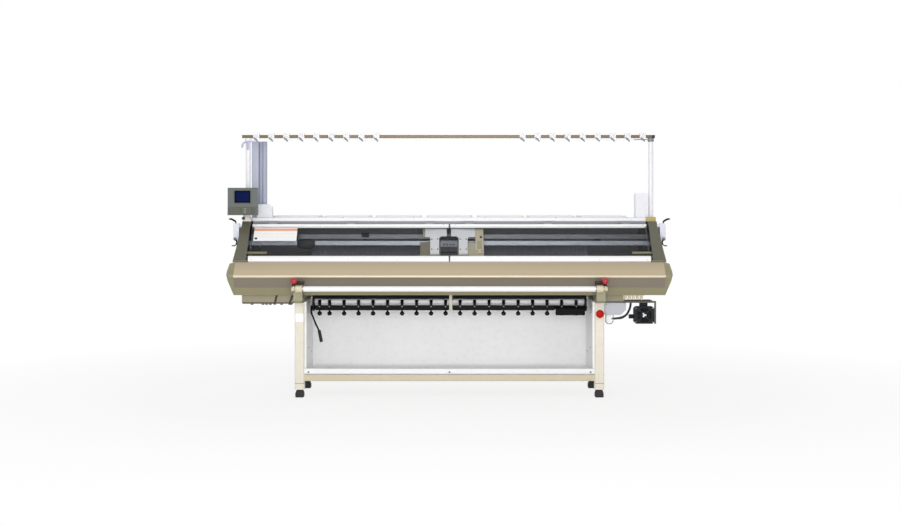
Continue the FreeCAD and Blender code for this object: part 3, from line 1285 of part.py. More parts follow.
def build_fan():
    z = FAN_Z + FAN_H / 2
    y1 = FAN_Y + FAN_D
    case = box(FAN_X - FAN_W / 2, FAN_X + FAN_W / 2, FAN_Y, y1, FAN_Z, FAN_Z + FAN_H)
    case = chamfered(case, 16.0, V(0, 1, 0))
    case = case.cut(rod_y(FAN_BORE, FAN_Y - 1, y1 - 8, FAN_X, z))
    case = case.cut(rod_y(AXLE_R + SHAFT_GAP, y1 - 9, y1 + 1, FAN_X, z))
    neck = box(FAN_X - 30, FAN_X + 30, y1 - 20, y1, FAN_Z + FAN_H - 1, SHELF_Z)
    spout = facet_bar(16.0, 12, V(FAN_X - FAN_W / 2 - 34, y1 - 20, z - 12),
                      V(FAN_X - FAN_W / 2 + 4, y1 - 20, z - 12))
    spout = spout.cut(rod_y(FAN_BORE, FAN_Y - 1, y1 - 8, FAN_X, z))
    save("fan_housing", fuse([case, neck, spout]))
    rotor = [facet_bar(FAN_HUB_R, 14, V(0, 0, -18), V(0, 0, 18)), rod_z(AXLE_R, -36, -17, 0, 0)]
    rotor += [fan_blade(i * 360.0 / FAN_BLADES) for i in range(FAN_BLADES)]
    fan = fuse(rotor)
    fan.rotate(V(0, 0, 0), V(1, 0, 0), 90)
    fan.translate(V(FAN_X, FAN_Y + 24, z))
    save("fan_rotor", fan)


def terminal_block():
    """Comb-shaped block of terminals below the right end of the bed beam."""
    x0 = LEG_OUTER + 147
    body = box(x0, x0 + 146, -300, -262, 750, BEAM_BOTTOM)
    teeth = [box(x0 + 2 + i * 29, x0 + 22 + i * 29, -300, -270, 720, 751) for i in range(5)]
    return fuse([body] + teeth)


def cable_tube(points, radius, name):
    """A tube of straight runs joined by tangent arcs as large as the runs allow."""
    pts = [V(*p) for p in points]
    edges = []
    here = pts[0]
    length = 0.0
    for before, mid, after in zip(pts[:-2], pts[1:-1], pts[2:]):
        a = (before - mid)
        b = (after - mid)
        short = min(a.Length, b.Length)
        turn = math.pi - a.getAngle(b)
        reach = 0.45 * short
        bend = reach / math.tan(turn / 2)
        print("  %s bend radius %.1f = %.1f diameters" % (name, bend, bend / (2 * radius)))
        start = mid + a.normalize() * reach
        end = mid + b.normalize() * reach
        middle_way = (a + b).normalize()
        corner = bend / math.cos(turn / 2) - bend
        arc = Part.Arc(start, mid + middle_way * corner, end)
        edges.append(Part.LineSegment(here, start).toShape())
        edges.append(arc.toShape())
        length += (start - here).Length + bend * turn
        here = end
    edges.append(Part.LineSegment(here, pts[-1]).toShape())
    length += (pts[-1] - here).Length
    path = Part.Wire(edges)
    ring = Part.Wire(Part.makeCircle(radius, pts[0], pts[1] - pts[0]))
    tube = path.makePipeShell([ring], True, False)
    print("  %s length %.0f, volume ratio %.4f" % (name, length,
                                                   tube.Volume / (math.pi * radius ** 2 * length)))
    return tube


POWER_CABLE = [(PLUG_X + 143, -250, SHELF_Z), (PLUG_X + 143, -250, 655), (PLUG_X + 95, -250, 577),
               (PLUG_X, -250, 577)]
SENSOR_CABLE = [(PLUG_X + 11, -268, PANEL_Z), (PLUG_X + 11, -268, 540), (PLUG_X - 45, -268, 540),
                (PLUG_X - 45, -268, PANEL_Z)]


def build_under_bed():
    save("under_box_left", chamfered(box(123 - HALF_WIDTH, -LEG_OUTER - 6, -292, -100, SHELF_Z - 7,
                                         BEAM_BOTTOM), 8.0, V(0, 1, 0)))
    x0 = LEG_OUTER + 4
    out = FAN_X + FAN_W / 2
    shelf = box(x0, out - 8, -292, -100, SHELF_Z, SHELF_Z + SHELF_T)
    riser = box(x0, x0 + 139, -292, -110, SHELF_Z + SHELF_T, BEAM_BOTTOM)
    post = box(out, out + 12, -292, -270, FAN_Z, SHELF_Z + SHELF_T)
    end = box(out - 28, out + 12, -292, -270, SHELF_Z, SHELF_Z + SHELF_T)
    side = x0 + 158
    outline = [(x0 + 4, PANEL_Z), (side - 38, PANEL_Z), (side, PANEL_Z + 38), (side, SHELF_Z),
               (x0 + 4, SHELF_Z)]
    panel = prism_y(outline, -284, -236)
    plug = box(PLUG_X - 35, PLUG_X, -262, -238, 548, PANEL_Z)
    panel = fuse([panel, plug])
    save("power_shelf", [fuse([shelf, riser, post, end]), panel, terminal_block()])
    cables = [cable_tube(POWER_CABLE, BIG_CABLE_R, "power cable")]
    cables.append(cable_tube(SENSOR_CABLE, THIN_CABLE_R, "sensor cable"))
    save("cables", cables)
    build_fan()


def main():
    os.makedirs("parts", exist_ok=True)
    build_stand()
    build_bin()
    build_beds()
    build_carriers()
    build_carriage()
    build_windows()
    build_covers()
    build_takedown()
    build_start_bar()
    build_stop()
    build_yarn_stand()
    build_monitor()
    build_side_tension()
    build_under_bed()


main()
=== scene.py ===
"""Dresses the flat knitting machine: finishes, small fittings, the stage and the camera.

Everything is in metres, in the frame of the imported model: X along the needle beds, Y to the back, Z up.
"""
import math

import bmesh
import bpy
from mathutils import Matrix, Vector


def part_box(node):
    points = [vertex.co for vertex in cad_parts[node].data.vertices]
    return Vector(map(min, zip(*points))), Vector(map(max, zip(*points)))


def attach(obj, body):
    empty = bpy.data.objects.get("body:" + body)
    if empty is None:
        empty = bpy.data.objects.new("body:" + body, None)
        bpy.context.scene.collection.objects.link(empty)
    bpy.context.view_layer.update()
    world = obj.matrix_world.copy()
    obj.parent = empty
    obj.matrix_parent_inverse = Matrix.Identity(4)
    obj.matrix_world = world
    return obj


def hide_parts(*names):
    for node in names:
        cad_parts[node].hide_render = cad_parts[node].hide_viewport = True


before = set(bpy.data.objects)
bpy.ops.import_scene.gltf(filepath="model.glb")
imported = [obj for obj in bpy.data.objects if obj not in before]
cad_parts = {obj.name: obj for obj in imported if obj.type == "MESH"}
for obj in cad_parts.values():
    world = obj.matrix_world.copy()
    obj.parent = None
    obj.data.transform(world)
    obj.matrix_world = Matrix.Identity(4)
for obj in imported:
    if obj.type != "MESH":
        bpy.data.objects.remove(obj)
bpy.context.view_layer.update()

bl_info = {
    "name": "Flat Knitting Machine Dress",
    "version": (1, 0, 0),
    "blender": (4, 5, 0),
    "location": "3D View > Sidebar > Knitting",
    "description": "Finishes and fittings for a computer-controlled flat knitting machine",
    "category": "Object",
}

# ---- the photograph's frame ----
PHOTO_WIDTH = 900
CAMERA_DISTANCE = 10.8     # from the machine's middle plane
CAMERA_HEIGHT = 1.416
CAMERA_MIDDLE = 449.5      # pixel column under the camera's axis
HORIZON_ROW = 205.0
PHOTO_MIDDLE_ROW = 262.5
FOCAL_PIXELS = 1428.6
SENSOR = 36.0

# ---- places that the source also uses ----
SLOPE = math.radians(39.0)
THROAT_Y = -0.04
BED_TOP = 1.105
KNIT_HALF = 1.016

WHITE = (1, 1, 1, 1)


def colour(code):
    """A hex sRGB colour as the linear RGBA that Blender's sockets take."""
    parts = [int(code[i:i + 2], 16) / 255.0 for i in (1, 3, 5)]
    linear = [c / 12.92 if c <= 0.04045 else ((c + 0.055) / 1.055) ** 2.4 for c in parts]
    return (*linear, 1.0)


# ---- shader maths ----
class Signal:
    """A number on a shader socket, so that shader maths reads as Python."""

    def __init__(self, finish, socket):
        self.finish = finish
        self.socket = socket

    def _join(self, operation, first, second):
        return self.finish.node("ShaderNodeMath", {"operation": operation}, {0: first, 1: second})

    def __add__(self, other):
        return self._join("ADD", self, other)

    def __radd__(self, other):
        return self._join("ADD", other, self)

    def __sub__(self, other):
        return self._join("SUBTRACT", self, other)

    def __rsub__(self, other):
        return self._join("SUBTRACT", other, self)

    def __mul__(self, other):
        return self._join("MULTIPLY", self, other)

    def __rmul__(self, other):
        return self._join("MULTIPLY", other, self)

    def __truediv__(self, other):
        return self._join("DIVIDE", self, other)

    def bounded(self):
        return self.finish.node("ShaderNodeClamp", {}, {"Value": self})

    def over(self, edge, soft):
        """0 below the edge and 1 above it, over a soft step."""
        return ((self - edge) / soft + 0.5).bounded()

    def between(self, low, high, soft=0.001):
        return self.over(low, soft) * (1 - self.over(high, soft))

    def waves(self, pitch):
        """0 to 1 and back over each pitch."""
        return self._join("PINGPONG", self, pitch / 2) / (pitch / 2)


def add_node(tree, kind, settings=None, inputs=None):
    """Adds a node: its settings first, then the values or links of its sockets."""
    made = tree.nodes.new(kind)
    for name, value in (settings or {}).items():
        setattr(made, name, value)
    for key, value in (inputs or {}).items():
        value = getattr(value, "socket", value)
        if isinstance(value, bpy.types.NodeSocket):
            tree.links.new(value, made.inputs[key])
        else:
            made.inputs[key].default_value = value
    return made


class Finish:
    """The node tree of one material or world; node() adds any node to it."""

    def __init__(self, name, world=False):
        self.owner = (bpy.data.worlds if world else bpy.data.materials).new(name)
        self.owner.use_nodes = True
        self.tree = self.owner.node_tree
        self.tree.nodes.clear()
        self.end = self.tree.nodes.new("ShaderNodeOutputWorld" if world else "ShaderNodeOutputMaterial")
        if not world:
            self.place = self.node("ShaderNodeTexCoord", output="Object")
            self.x, self.y, self.z = [self.node("ShaderNodeSeparateXYZ", {}, {0: self.place}, i) for i in range(3)]

    def node(self, kind, settings=None, inputs=None, output=0):
        return Signal(self, add_node(self.tree, kind, settings, inputs).outputs[output])

    def noise(self, scale, stretch=(1.0, 1.0, 1.0), detail=3.0, rough=0.55):
        where = self.node("ShaderNodeMapping", {}, {"Vector": self.place, "Scale": stretch})
        return self.node("ShaderNodeTexNoise", {}, {"Vector": where, "Scale": scale, "Detail": detail,
                                                    "Roughness": rough})

    def mix(self, factor, first, second):
        """Blend of two colours or hex codes, sockets 6 and 7 of a colour Mix node."""
        first, second = [colour(shade) if isinstance(shade, str) else shade for shade in (first, second)]
        return self.node("ShaderNodeMix", {"data_type": "RGBA"}, {0: factor, 6: first, 7: second}, 2)

    def block(self, low, high, soft=0.001):
        """1 inside a box given by two corners, with None for an open side."""
        inside = None
        for signal, start, end in zip((self.x, self.y, self.z), low, high):
            for edge, keep_above in ((start, True), (end, False)):
                if edge is None:
                    continue
                side = signal.over(edge, soft)
                side = side if keep_above else 1 - side
                inside = side if inside is None else inside * side
        return inside

    def marked(self, shade, marks):
        """The shade with other paint inside the boxes of its marks."""
        for low, high, code in marks:
            shade = self.mix(self.block(low, high), shade, code)
        return shade

    def bump(self, height, strength, distance=0.0005):
        return self.node("ShaderNodeBump", {}, {"Height": height, "Strength": strength, "Distance": distance})

    def seen(self):
        """1 for rays from the camera, off a glossy face or through glass."""
        camera, glossy, through = [self.node("ShaderNodeLightPath", output="Is %s Ray" % kind)
                                   for kind in ("Camera", "Glossy", "Transmission")]
        return (camera + glossy + through).bounded()

    def close(self, shader):
        """Links a shader to the output."""
        self.tree.links.new(shader.socket, self.end.inputs["Surface"])
        return self.owner

    def surface(self, **inputs):
        """Ends the tree in a Principled shader; underscores stand for spaces in the socket names."""
        named = {name.replace("_", " "): value for name, value in inputs.items()}
        return self.close(self.node("ShaderNodeBsdfPrincipled", {}, named))


# ---- finishes ----
def mark(code, x0=None, x1=None, y0=None, y1=None, z0=None, z1=None):
    """A box of another paint or of painted shade on a finish; a side left out is open."""
    return (x0, y0, z0), (x1, y1, z1), code


def darker(code, share):
    return "#%02X%02X%02X" % tuple(int(int(code[i:i + 2], 16) * share) for i in (1, 3, 5))


def powder_coat(name, base, roughness=0.42, metallic=0.0, coat=0.15, marks=(), shine=0.5):
    """Sprayed paint: faint cloudiness, fine orange peel, handling smudges and masked areas of other paint or of painted
    shade.
    """
    finish = Finish(name)
    clouds = finish.noise(2.6)
    dust = finish.noise(38.0, detail=5.0)
    peel = finish.noise(620.0, detail=1.0)
    shade = finish.mix((clouds - 0.35) * 0.3, base, darker(base, 0.86))
    shade = finish.mix(dust.over(0.62, 0.2) * 0.1, shade, darker(base, 0.72))
    return finish.surface(Base_Color=finish.marked(shade, marks), Metallic=metallic, Coat_Weight=coat,
                          Roughness=roughness + (clouds - 0.5) * 0.1 + (dust - 0.5) * 0.08,
                          Coat_Roughness=0.25, Specular_IOR_Level=shine, Normal=finish.bump(peel, 0.06))


def gold_sheet():
    """Pale gold metallic paint with fine flakes, faint clouds and dark rear seams, with painted shade on the front top
    band and below the nose and a painted highlight along the nose.
    """
    finish = Finish("gold cover paint")
    flakes = finish.node("ShaderNodeTexVoronoi", {}, {"Vector": finish.place, "Scale": 1400.0})
    clouds = finish.noise(1.8, (0.4, 1.0, 1.0))
    # Painted shade below the nose and on the front top band, and a painted highlight along the nose.
    below = 1 - finish.z.over(0.893, 0.006)
    top_band_shade = finish.z.over(0.962, 0.06) * (1 - finish.y.over(-0.2, 0.02))
    seams = finish.x.between(-0.5208, -0.5192, 0.0004) + finish.x.between(0.5192, 0.5208, 0.0004)
    nose = finish.z.between(0.8895, 0.905, 0.004) * (1 - finish.y.over(-0.43, 0.01))
    shade = finish.mix(flakes * 0.22, "#C2B293", "#AC9E80")
    # Painted shade on the top band and below the nose, a dark joint at the seams, and a painted highlight on the nose.
    for factor, code in (((clouds - 0.4) * 0.25, "#CDBF9E"), (top_band_shade * 0.55, "#A3967E"), (below * 0.94, "#7F7668"),
                         (seams.bounded() * finish.y.over(0.42, 0.01) * 0.85, "#3F3A30"), (nose * 0.85, "#DCD0B8")):
        shade = finish.mix(factor, shade, code)
    return finish.surface(Base_Color=shade, Metallic=0.25, Roughness=0.4 + clouds * 0.08, Coat_Weight=0.3,
                          Coat_Roughness=0.2, Normal=finish.bump(flakes, 0.03, 0.0002))


def ground_steel(name, base, roughness=0.3, marks=()):
    """Ground metal with fine lines along the piece."""
    finish = Finish(name)
    lines = finish.noise(6.0, (3.0, 260.0, 260.0), 4.0, 0.7)
    clouds = finish.noise(3.0)
    shade = finish.mix(lines, darker(base, 0.82), base)
    shade = finish.mix(clouds.over(0.62, 0.2) * 0.2, shade, darker(base, 0.6))
    return finish.surface(Base_Color=finish.marked(shade, marks), Metallic=0.85,
                          Roughness=roughness + (lines - 0.5) * 0.2, Normal=finish.bump(lines, 0.05, 0.0002))


def needle_steel(name, base):
    """Milled steel bed with fine needle grooves across it, painted dark as the shade in them; the grooves follow the
    knitting width.
    """
    finish = Finish(name)
    groove = (finish.x + 10.0).waves(2.0 * KNIT_HALF / 560.0)
    # Painted shade: the grooves are darkened as recesses in shade.
    dark = groove.over(0.62, 0.25) * finish.x.between(-KNIT_HALF, KNIT_HALF, 0.002)
    lines = finish.noise(8.0, (260.0, 3.0, 3.0), 3.0)
    shade = finish.mix(dark * 0.55, finish.mix(lines, darker(base, 0.86), base), "#2A2C30")
    return finish.surface(Base_Color=shade, Metallic=0.8, Roughness=0.32 + dark * 0.25,
                          Normal=finish.bump(1 - dark, 0.5, 0.0008))


def moulded(name, base, roughness=0.45, coat=0.0, grain=900.0, marks=(), shine=0.5):
    """Moulded plastic or rubber with a fine even grain."""
    finish = Finish(name)
    skin = finish.noise(grain, detail=2.0)
    clouds = finish.noise(4.0)
    shade = finish.mix((clouds - 0.35) * 0.22, base, darker(base, 0.84))
    return finish.surface(Base_Color=finish.marked(shade, marks), Roughness=roughness + (clouds - 0.5) * 0.1,
                          Coat_Weight=coat, Coat_Roughness=0.12, Specular_IOR_Level=shine,
                          Normal=finish.bump(skin, 0.08, 0.0003))


def smoked_pane():
    """Clear, slightly smoked acrylic pane with faint wiping marks."""
    finish = Finish("smoked pane")
    wipes = finish.noise(5.0, (1.0, 0.3, 3.0), 5.0)
    edge = 1 - finish.x.between(-1.466, 1.466, 0.004)
    return finish.surface(Base_Color=finish.mix(wipes, "#34363A", "#5A5D60"),
                          Roughness=0.05 + wipes.over(0.6, 0.3) * 0.05,
                          Alpha=0.1 + (wipes - 0.5) * 0.05 + edge * 0.3, Coat_Weight=0.15)


def screen_face():
    """Dark blue display with a darker border and faint rows of picture elements."""
    finish = Finish("screen face")
    low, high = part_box("monitor_screen")
    border = 0.012
    inside = finish.block((low[0] + border, None, low[2] + border), (high[0] - border, None, high[2] - border))
    return finish.surface(Base_Color=finish.mix(inside, "#00081E", "#011345"),
                          Roughness=0.22 + finish.z.waves(0.003) * 0.05, Specular_IOR_Level=0.05,
                          Emission_Color=finish.mix(inside, "#000614", "#03256B"), Emission_Strength=0.02)


def lavender_column():
    """Pale lavender duct with a shaded side and a dark joint line."""
    finish = Finish("lavender column")
    low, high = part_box("cable_column")
    clouds = finish.noise(3.0)
    across = (finish.x - low[0]) / (high[0] - low[0])
    shade = finish.mix(across.over(0.55, 0.05), "#B5BACB", "#A6ABBD")
    shade = finish.mix(across.between(0.44, 0.52, 0.02), shade, "#7C8196")
    shade = finish.mix((clouds - 0.4) * 0.2, shade, "#C8CADA")
    return finish.surface(Base_Color=shade, Roughness=0.45 + (clouds - 0.5) * 0.1, Coat_Weight=0.1)


# ---- mesh helpers ----
def linked(name, data):
    """A new object in the scene."""
    made = bpy.data.objects.new(name, data)
    bpy.context.scene.collection.objects.link(made)
    return made


def riding(name, mesh, material, body):
    """A finished mesh as a piece that rides on a body; repeats bring their material along."""
    if material not in list(mesh.materials):
        mesh.materials.append(material)
    piece = linked(name, mesh)
    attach(piece, body)
    return piece


def made_mesh(name, maker, smooth):
    """A mesh from a function that fills a bmesh, its doubles merged and its faces turned outwards."""
    mesh = bpy.data.meshes.new(name)
    work = bmesh.new()
    maker(work)
    bmesh.ops.remove_doubles(work, verts=work.verts, dist=1e-6)
    bmesh.ops.recalc_face_normals(work, faces=work.faces)
    work.to_mesh(mesh)
    work.free()
    if smooth is not None:
        mesh.shade_smooth()
        mesh.set_sharp_from_angle(angle=math.radians(smooth))
    return mesh


def real_mesh(holder):
    """The plain mesh of an object with its curve or modifiers worked out."""
    return bpy.data.meshes.new_from_object(holder.evaluated_get(bpy.context.evaluated_depsgraph_get()))


def new_piece(name, maker, material, body, smooth=None):
    """Makes a piece from a function that fills a bmesh, and lets it ride on a body."""
    return riding(name, made_mesh(name, maker, smooth), material, body)


def add_block(work, corner, opposite, bevel=0.0):
    """A block between two opposite corners with small round edges."""
    low, high = [Vector([pick(pair) for pair in zip(corner, opposite)]) for pick in (min, max)]
    size = high - low
    made = bmesh.ops.create_cube(work, size=1.0)["verts"]
    for vert in made:
        vert.co = Vector([low[i] + (vert.co[i] + 0.5) * size[i] for i in range(3)])
    if bevel:
        edges = list({edge for vert in made for edge in vert.link_edges})
        bmesh.ops.bevel(work, geom=edges, offset=bevel, segments=2, affect="EDGES", profile=0.6)


def join_loops(work, loops, ring=False):
    """Walls from loop to loop of as many corners, closed into a ring or by a face at each end."""
    loops = [[work.verts.new(corner) for corner in loop] for loop in loops]
    for one, two in zip(loops, loops[1:] + loops[:1] if ring else loops[1:]):
        for i in range(len(one)):
            work.faces.new((one[i - 1], one[i], two[i], two[i - 1]))
    if not ring:
        work.faces.new(loops[0])
        work.faces.new(loops[-1])


def extruded(work, outline, xs):
    """A prism of a (y, z) outline between two places along X."""
    join_loops(work, [[(x, y, z) for y, z in outline] for x in xs])


def round_steps(sides):
    return [2 * math.pi * i / sides for i in range(sides)]


def add_lathe(work, profile, place=Matrix(), sides=24):
    """A turned shape: (radius, height) pairs spun about Z and then placed."""
    rings = [[work.verts.new(place @ Vector((radius * math.cos(a), radius * math.sin(a), height)))
              for a in (round_steps(sides) if radius >= 1e-7 else [0.0])] for radius, height in profile]
    for low, high in zip(rings[:-1], rings[1:]):
        for i in range(sides):
            j = (i + 1) % sides
            corners = [low[i % len(low)], low[j % len(low)], high[j % len(high)], high[i % len(high)]]
            unique = [corner for k, corner in enumerate(corners) if corner not in corners[:k]]
            if len(unique) > 2:
                work.faces.new(unique)
    for ring in (rings[0], rings[-1]):
        if len(ring) > 2:
            work.faces.new(ring)


def turned(profile, place=Matrix(), sides=24):
    """A maker of one turned shape."""
    return lambda work: add_lathe(work, profile, place, sides)


def add_ring(work, section, place, sides=32):
    """Turns a closed (radius, height) section about local z into a ring."""
    join_loops(work, [[place @ Vector((r * math.cos(a), r * math.sin(a), h)) for r, h in section]
                      for a in round_steps(sides)], ring=True)


def facing(origin, axis):
    """A placement whose Z runs along an axis."""
    turn = Vector(axis).normalized().to_track_quat("Z", "Y").to_matrix().to_4x4()
    return Matrix.Translation(Vector(origin)) @ turn


def curve_mesh(name, kind, points, settings, spline_settings=None):
    """The mesh of a curve through or along points."""
    curve = bpy.data.curves.new(name, "CURVE")
    curve.dimensions = "3D"
    for key, value in settings.items():
        setattr(curve, key, value)
    spline = curve.splines.new(kind)
    spline.points.add(len(points) - 1)
    for point, where in zip(spline.points, points):
        point.co = (*where, 1.0)
    for key, value in (spline_settings or {}).items():
        setattr(spline, key, value)
    holder = linked(name, curve)
    mesh = real_mesh(holder)
    bpy.data.objects.remove(holder)
    bpy.data.curves.remove(curve)
    return mesh


def wire_piece(name, points, radius, material, body, sides):
    """A round bent wire through points, as a mesh."""
    mesh = curve_mesh(name, "POLY", points, {"bevel_depth": radius, "bevel_resolution": sides, "use_fill_caps": True})
    mesh.shade_smooth()
    return riding(name, mesh, material, body)


def on_bed(slope_run, height):
    """(y, z) of a point down the front bed's slope from its edge and above its face."""
    edge_y = THROAT_Y - 0.004
    return (edge_y - slope_run * math.cos(SLOPE) - height * math.sin(SLOPE),
            BED_TOP - slope_run * math.sin(SLOPE) + height * math.cos(SLOPE))


def bed_spot(x, slope_run, height, back=False):
    """A point on the front bed, or its mirror image on the back one, and the way out of the face there."""
    y, z = on_bed(slope_run, height)
    return ((x, 2 * THROAT_Y - y if back else y, z), (0, math.sin(SLOPE) * (1 if back else -1), math.cos(SLOPE)))


def seat(node, start, way):
    """Where a line meets a CAD node's surface, and the surface's normal there."""
    found, place, normal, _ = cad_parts[node].ray_cast(Vector(start), Vector(way))
    if not found:
        raise RuntimeError("no surface of %s at %s" % (node, start))
    return place, normal


# ---- repeats ----
def repeat_tree(name):
    """A node tree that sets one shape on every point, turned by the points' turn attribute, and makes it real."""
    tree = bpy.data.node_groups.new(name, "GeometryNodeTree")
    tree.interface.new_socket("Geometry", in_out="INPUT", socket_type="NodeSocketGeometry")
    ids = {label: tree.interface.new_socket(label, in_out="INPUT", socket_type="NodeSocket" + kind).identifier
           for label, kind in (("Shape", "Object"), ("Finish", "Material"), ("Size", "Float"))}
    tree.interface.new_socket("Geometry", in_out="OUTPUT", socket_type="NodeSocketGeometry")
    start = tree.nodes.new("NodeGroupInput").outputs
    item = add_node(tree, "GeometryNodeObjectInfo", {}, {"Object": start["Shape"]})
    turn = add_node(tree, "GeometryNodeInputNamedAttribute", {"data_type": "FLOAT_VECTOR"}, {"Name": "turn"})
    copies = add_node(tree, "GeometryNodeInstanceOnPoints", {}, {
        "Points": start["Geometry"], "Instance": item.outputs["Geometry"], "Rotation": turn.outputs["Attribute"],
        "Scale": start["Size"]})
    real = add_node(tree, "GeometryNodeRealizeInstances", {}, {"Geometry": copies.outputs["Instances"]})
    done = add_node(tree, "GeometryNodeSetMaterial", {}, {
        "Geometry": real.outputs["Geometry"], "Material": start["Finish"]})
    tree.links.new(done.outputs["Geometry"], tree.nodes.new("NodeGroupOutput").inputs[0])
    return tree, ids


def repeated(name, maker, places, material, body, smooth=40.0):
    """Copies of one small shape at (point, axis) places, made by a node tree and kept as one mesh."""
    shape = linked(name + "_shape", made_mesh(name + "_shape", maker, smooth))
    points = bpy.data.meshes.new(name + "_points")
    points.from_pydata([tuple(point) for point, axis in places], [], [])
    turns = points.attributes.new("turn", "FLOAT_VECTOR", "POINT")
    for entry, (point, axis) in zip(turns.data, places):
        entry.vector = facing((0, 0, 0), axis).to_euler()
    host = linked(name + "_host", points)
    tree, ids = repeat_tree(name + "_repeat")
    modifier = host.modifiers.new("repeat", "NODES")
    modifier.node_group = tree
    for label, value in (("Shape", shape), ("Finish", material), ("Size", 1.0)):
        modifier[ids[label]] = value
    bpy.context.view_layer.update()
    mesh = real_mesh(host)
    mesh.name = name
    host.modifiers.remove(modifier)
    for thing in (shape, host):
        bpy.data.objects.remove(thing)
    bpy.data.node_groups.remove(tree)
    return riding(name, mesh, material, body)


def screw_head(radius, height):
    """A domed screw head with a recess, its foot at the origin."""
    return turned([(0, -0.0005), (radius, -0.0005), (radius, height * 0.45), (radius * 0.86, height * 0.85),
                   (radius * 0.62, height), (radius * 0.5, height), (radius * 0.5 * 0.92, height * 0.35),
                   (0, height * 0.3)], sides=12)


def ball(radius, rings=10, flat=0.0):
    """Profile of a ball from its foot, which may be cut flat, to its top."""
    start = -math.pi / 2 + flat
    steps = [start + (math.pi / 2 - start) * i / rings for i in range(rings + 1)]
    return [(max(radius * math.cos(a), 0.0), radius * math.sin(a)) for a in steps]


def middle_of(low, high):
    return [(a + b) / 2 for a, b in zip(low, high)]


# ---- stage ----
class KNIT_PG_stage(bpy.types.PropertyGroup):
    floor_size: bpy.props.FloatProperty(name="Floor", description="Side of the floor", default=60.0, unit="LENGTH")
    lamp_power: bpy.props.FloatProperty(name="Lamp", description="Power of the main lamp", default=170.0)
    world_light: bpy.props.FloatProperty(name="Room", description="Strength of the room's light", default=0.48)


class KNIT_OT_stage(bpy.types.Operator):
    """Adds the pale floor, the soft lamps, the room light and the camera."""
    bl_idname = "knit.stage"
    bl_label = "Stage"

    def execute(self, context):
        sizes = context.scene.knit_stage
        mesh = bpy.data.meshes.new("floor")
        half = sizes.floor_size / 2
        mesh.from_pydata([(-half, -half, 0), (half, -half, 0), (half, half, 0), (-half, half, 0)], [], [(0, 1, 2, 3)])
        mesh.materials.append(self.pale_ground())
        linked("floor", mesh)
        self.lamps(sizes.lamp_power)
        self.room(context, sizes.world_light)
        self.camera(context)
        return {"FINISHED"}

    def pale_ground(self):
        finish = Finish("pale floor")
        ground = finish.node("ShaderNodeBsdfDiffuse", {}, {"Color": (0.94, 0.94, 0.94, 1)})
        white = finish.node("ShaderNodeEmission", {}, {"Color": WHITE, "Strength": 1.0})
        away = finish.node("ShaderNodeVectorMath", {"operation": "LENGTH"}, {0: finish.place}, 1)
        share = (0.8 + away.over(3.4, 2.6) * 0.2) * finish.seen()
        return finish.close(finish.node("ShaderNodeMixShader", {}, {0: share, 1: ground, 2: white}))

    def lamps(self, power):
        for name, where, size, share in (("key", (-3.6, -5.4, 5.2), 3.2, 0.46), ("fill", (4.2, -5.6, 4.0), 3.4, 0.22),
                                         ("back", (0.0, 4.8, 4.6), 3.6, 0.4), ("low", (0.0, -7.0, 0.8), 4.0, 1.45)):
            light = bpy.data.lights.new("lamp_" + name, "AREA")
            light.shape = "DISK"
            light.size = size
            light.energy = power * share
            lamp = linked("lamp_" + name, light)
            lamp.location = where
            aim = Vector((0, 0, 0.9)) - Vector(where)
            lamp.rotation_euler = aim.to_track_quat("-Z", "Y").to_euler()

    def room(self, context, strength):
        room = Finish("room", world=True)
        light, backdrop = [room.node("ShaderNodeBackground", {}, {"Color": WHITE, "Strength": level})
                           for level in (strength, 1.0)]
        context.scene.world = room.close(room.node("ShaderNodeMixShader", {}, {0: room.seen(), 1: light, 2: backdrop}))

    def camera(self, context):
        data = bpy.data.cameras.new("photo_camera")
        data.sensor_width = SENSOR
        data.lens = FOCAL_PIXELS * SENSOR / PHOTO_WIDTH
        data.shift_y = (HORIZON_ROW - PHOTO_MIDDLE_ROW) / PHOTO_WIDTH
        data.clip_end = 200.0
        camera = linked("photo_camera", data)
        camera.location = ((PHOTO_WIDTH / 2 - CAMERA_MIDDLE) * CAMERA_DISTANCE / FOCAL_PIXELS, -CAMERA_DISTANCE,
                           CAMERA_HEIGHT)
        camera.rotation_euler = (math.radians(90), 0, 0)
        context.scene.camera = camera
        context.scene.view_settings.view_transform = "Standard"


# ---- fittings ----
FRONT_FACE = (0, -1, 0)
SIDES = ((-1, "left"), (1, "right"))
BAR_LEVEL = 0.81             # middle of the start bar
KNOB_COLUMNS = [-0.972] + [-0.898 + i * 0.1086 for i in range(18)]
STRIP_FRONT = -0.1219        # face of the pressure frame's strip
BALL_CUT = math.radians(18)  # flat foot of the start bar's balls


class KNIT_PG_fittings(bpy.types.PropertyGroup):
    knob_radius: bpy.props.FloatProperty(name="Knob", description="Radius of a pressure knob", default=0.0176,
                                         unit="LENGTH")
    needle_count: bpy.props.IntProperty(name="Needles", description="Needle butts shown on each bed", default=280)
    screw_radius: bpy.props.FloatProperty(name="Screw", description="Radius of a cover screw's head",
                                          default=0.0048, unit="LENGTH")


class KNIT_OT_needles(bpy.types.Operator):
    """Sets the fine rows of needle butts and hooks on both needle beds."""
    bl_idname = "knit.needles"
    bl_label = "Needles"

    def execute(self, context):
        count = context.scene.knit_fittings.needle_count
        steel = ground_steel("needle steel", "#A9ACB4", 0.25)
        pitch = 2 * KNIT_HALF / count

        def butt(work):
            add_block(work, (-0.0005, -0.0035, -0.001), (0.0005, 0.0035, 0.0022))

        for name, body, back in (("needles_front", "frame", False), ("needles_back", "back_bed", True)):
            repeated(name, butt, [bed_spot(-KNIT_HALF + (i + 0.5) * pitch, run, 0.0, back) for i in range(count)
                                  for run in (0.0125, 0.1262)], steel, body)
        return {"FINISHED"}


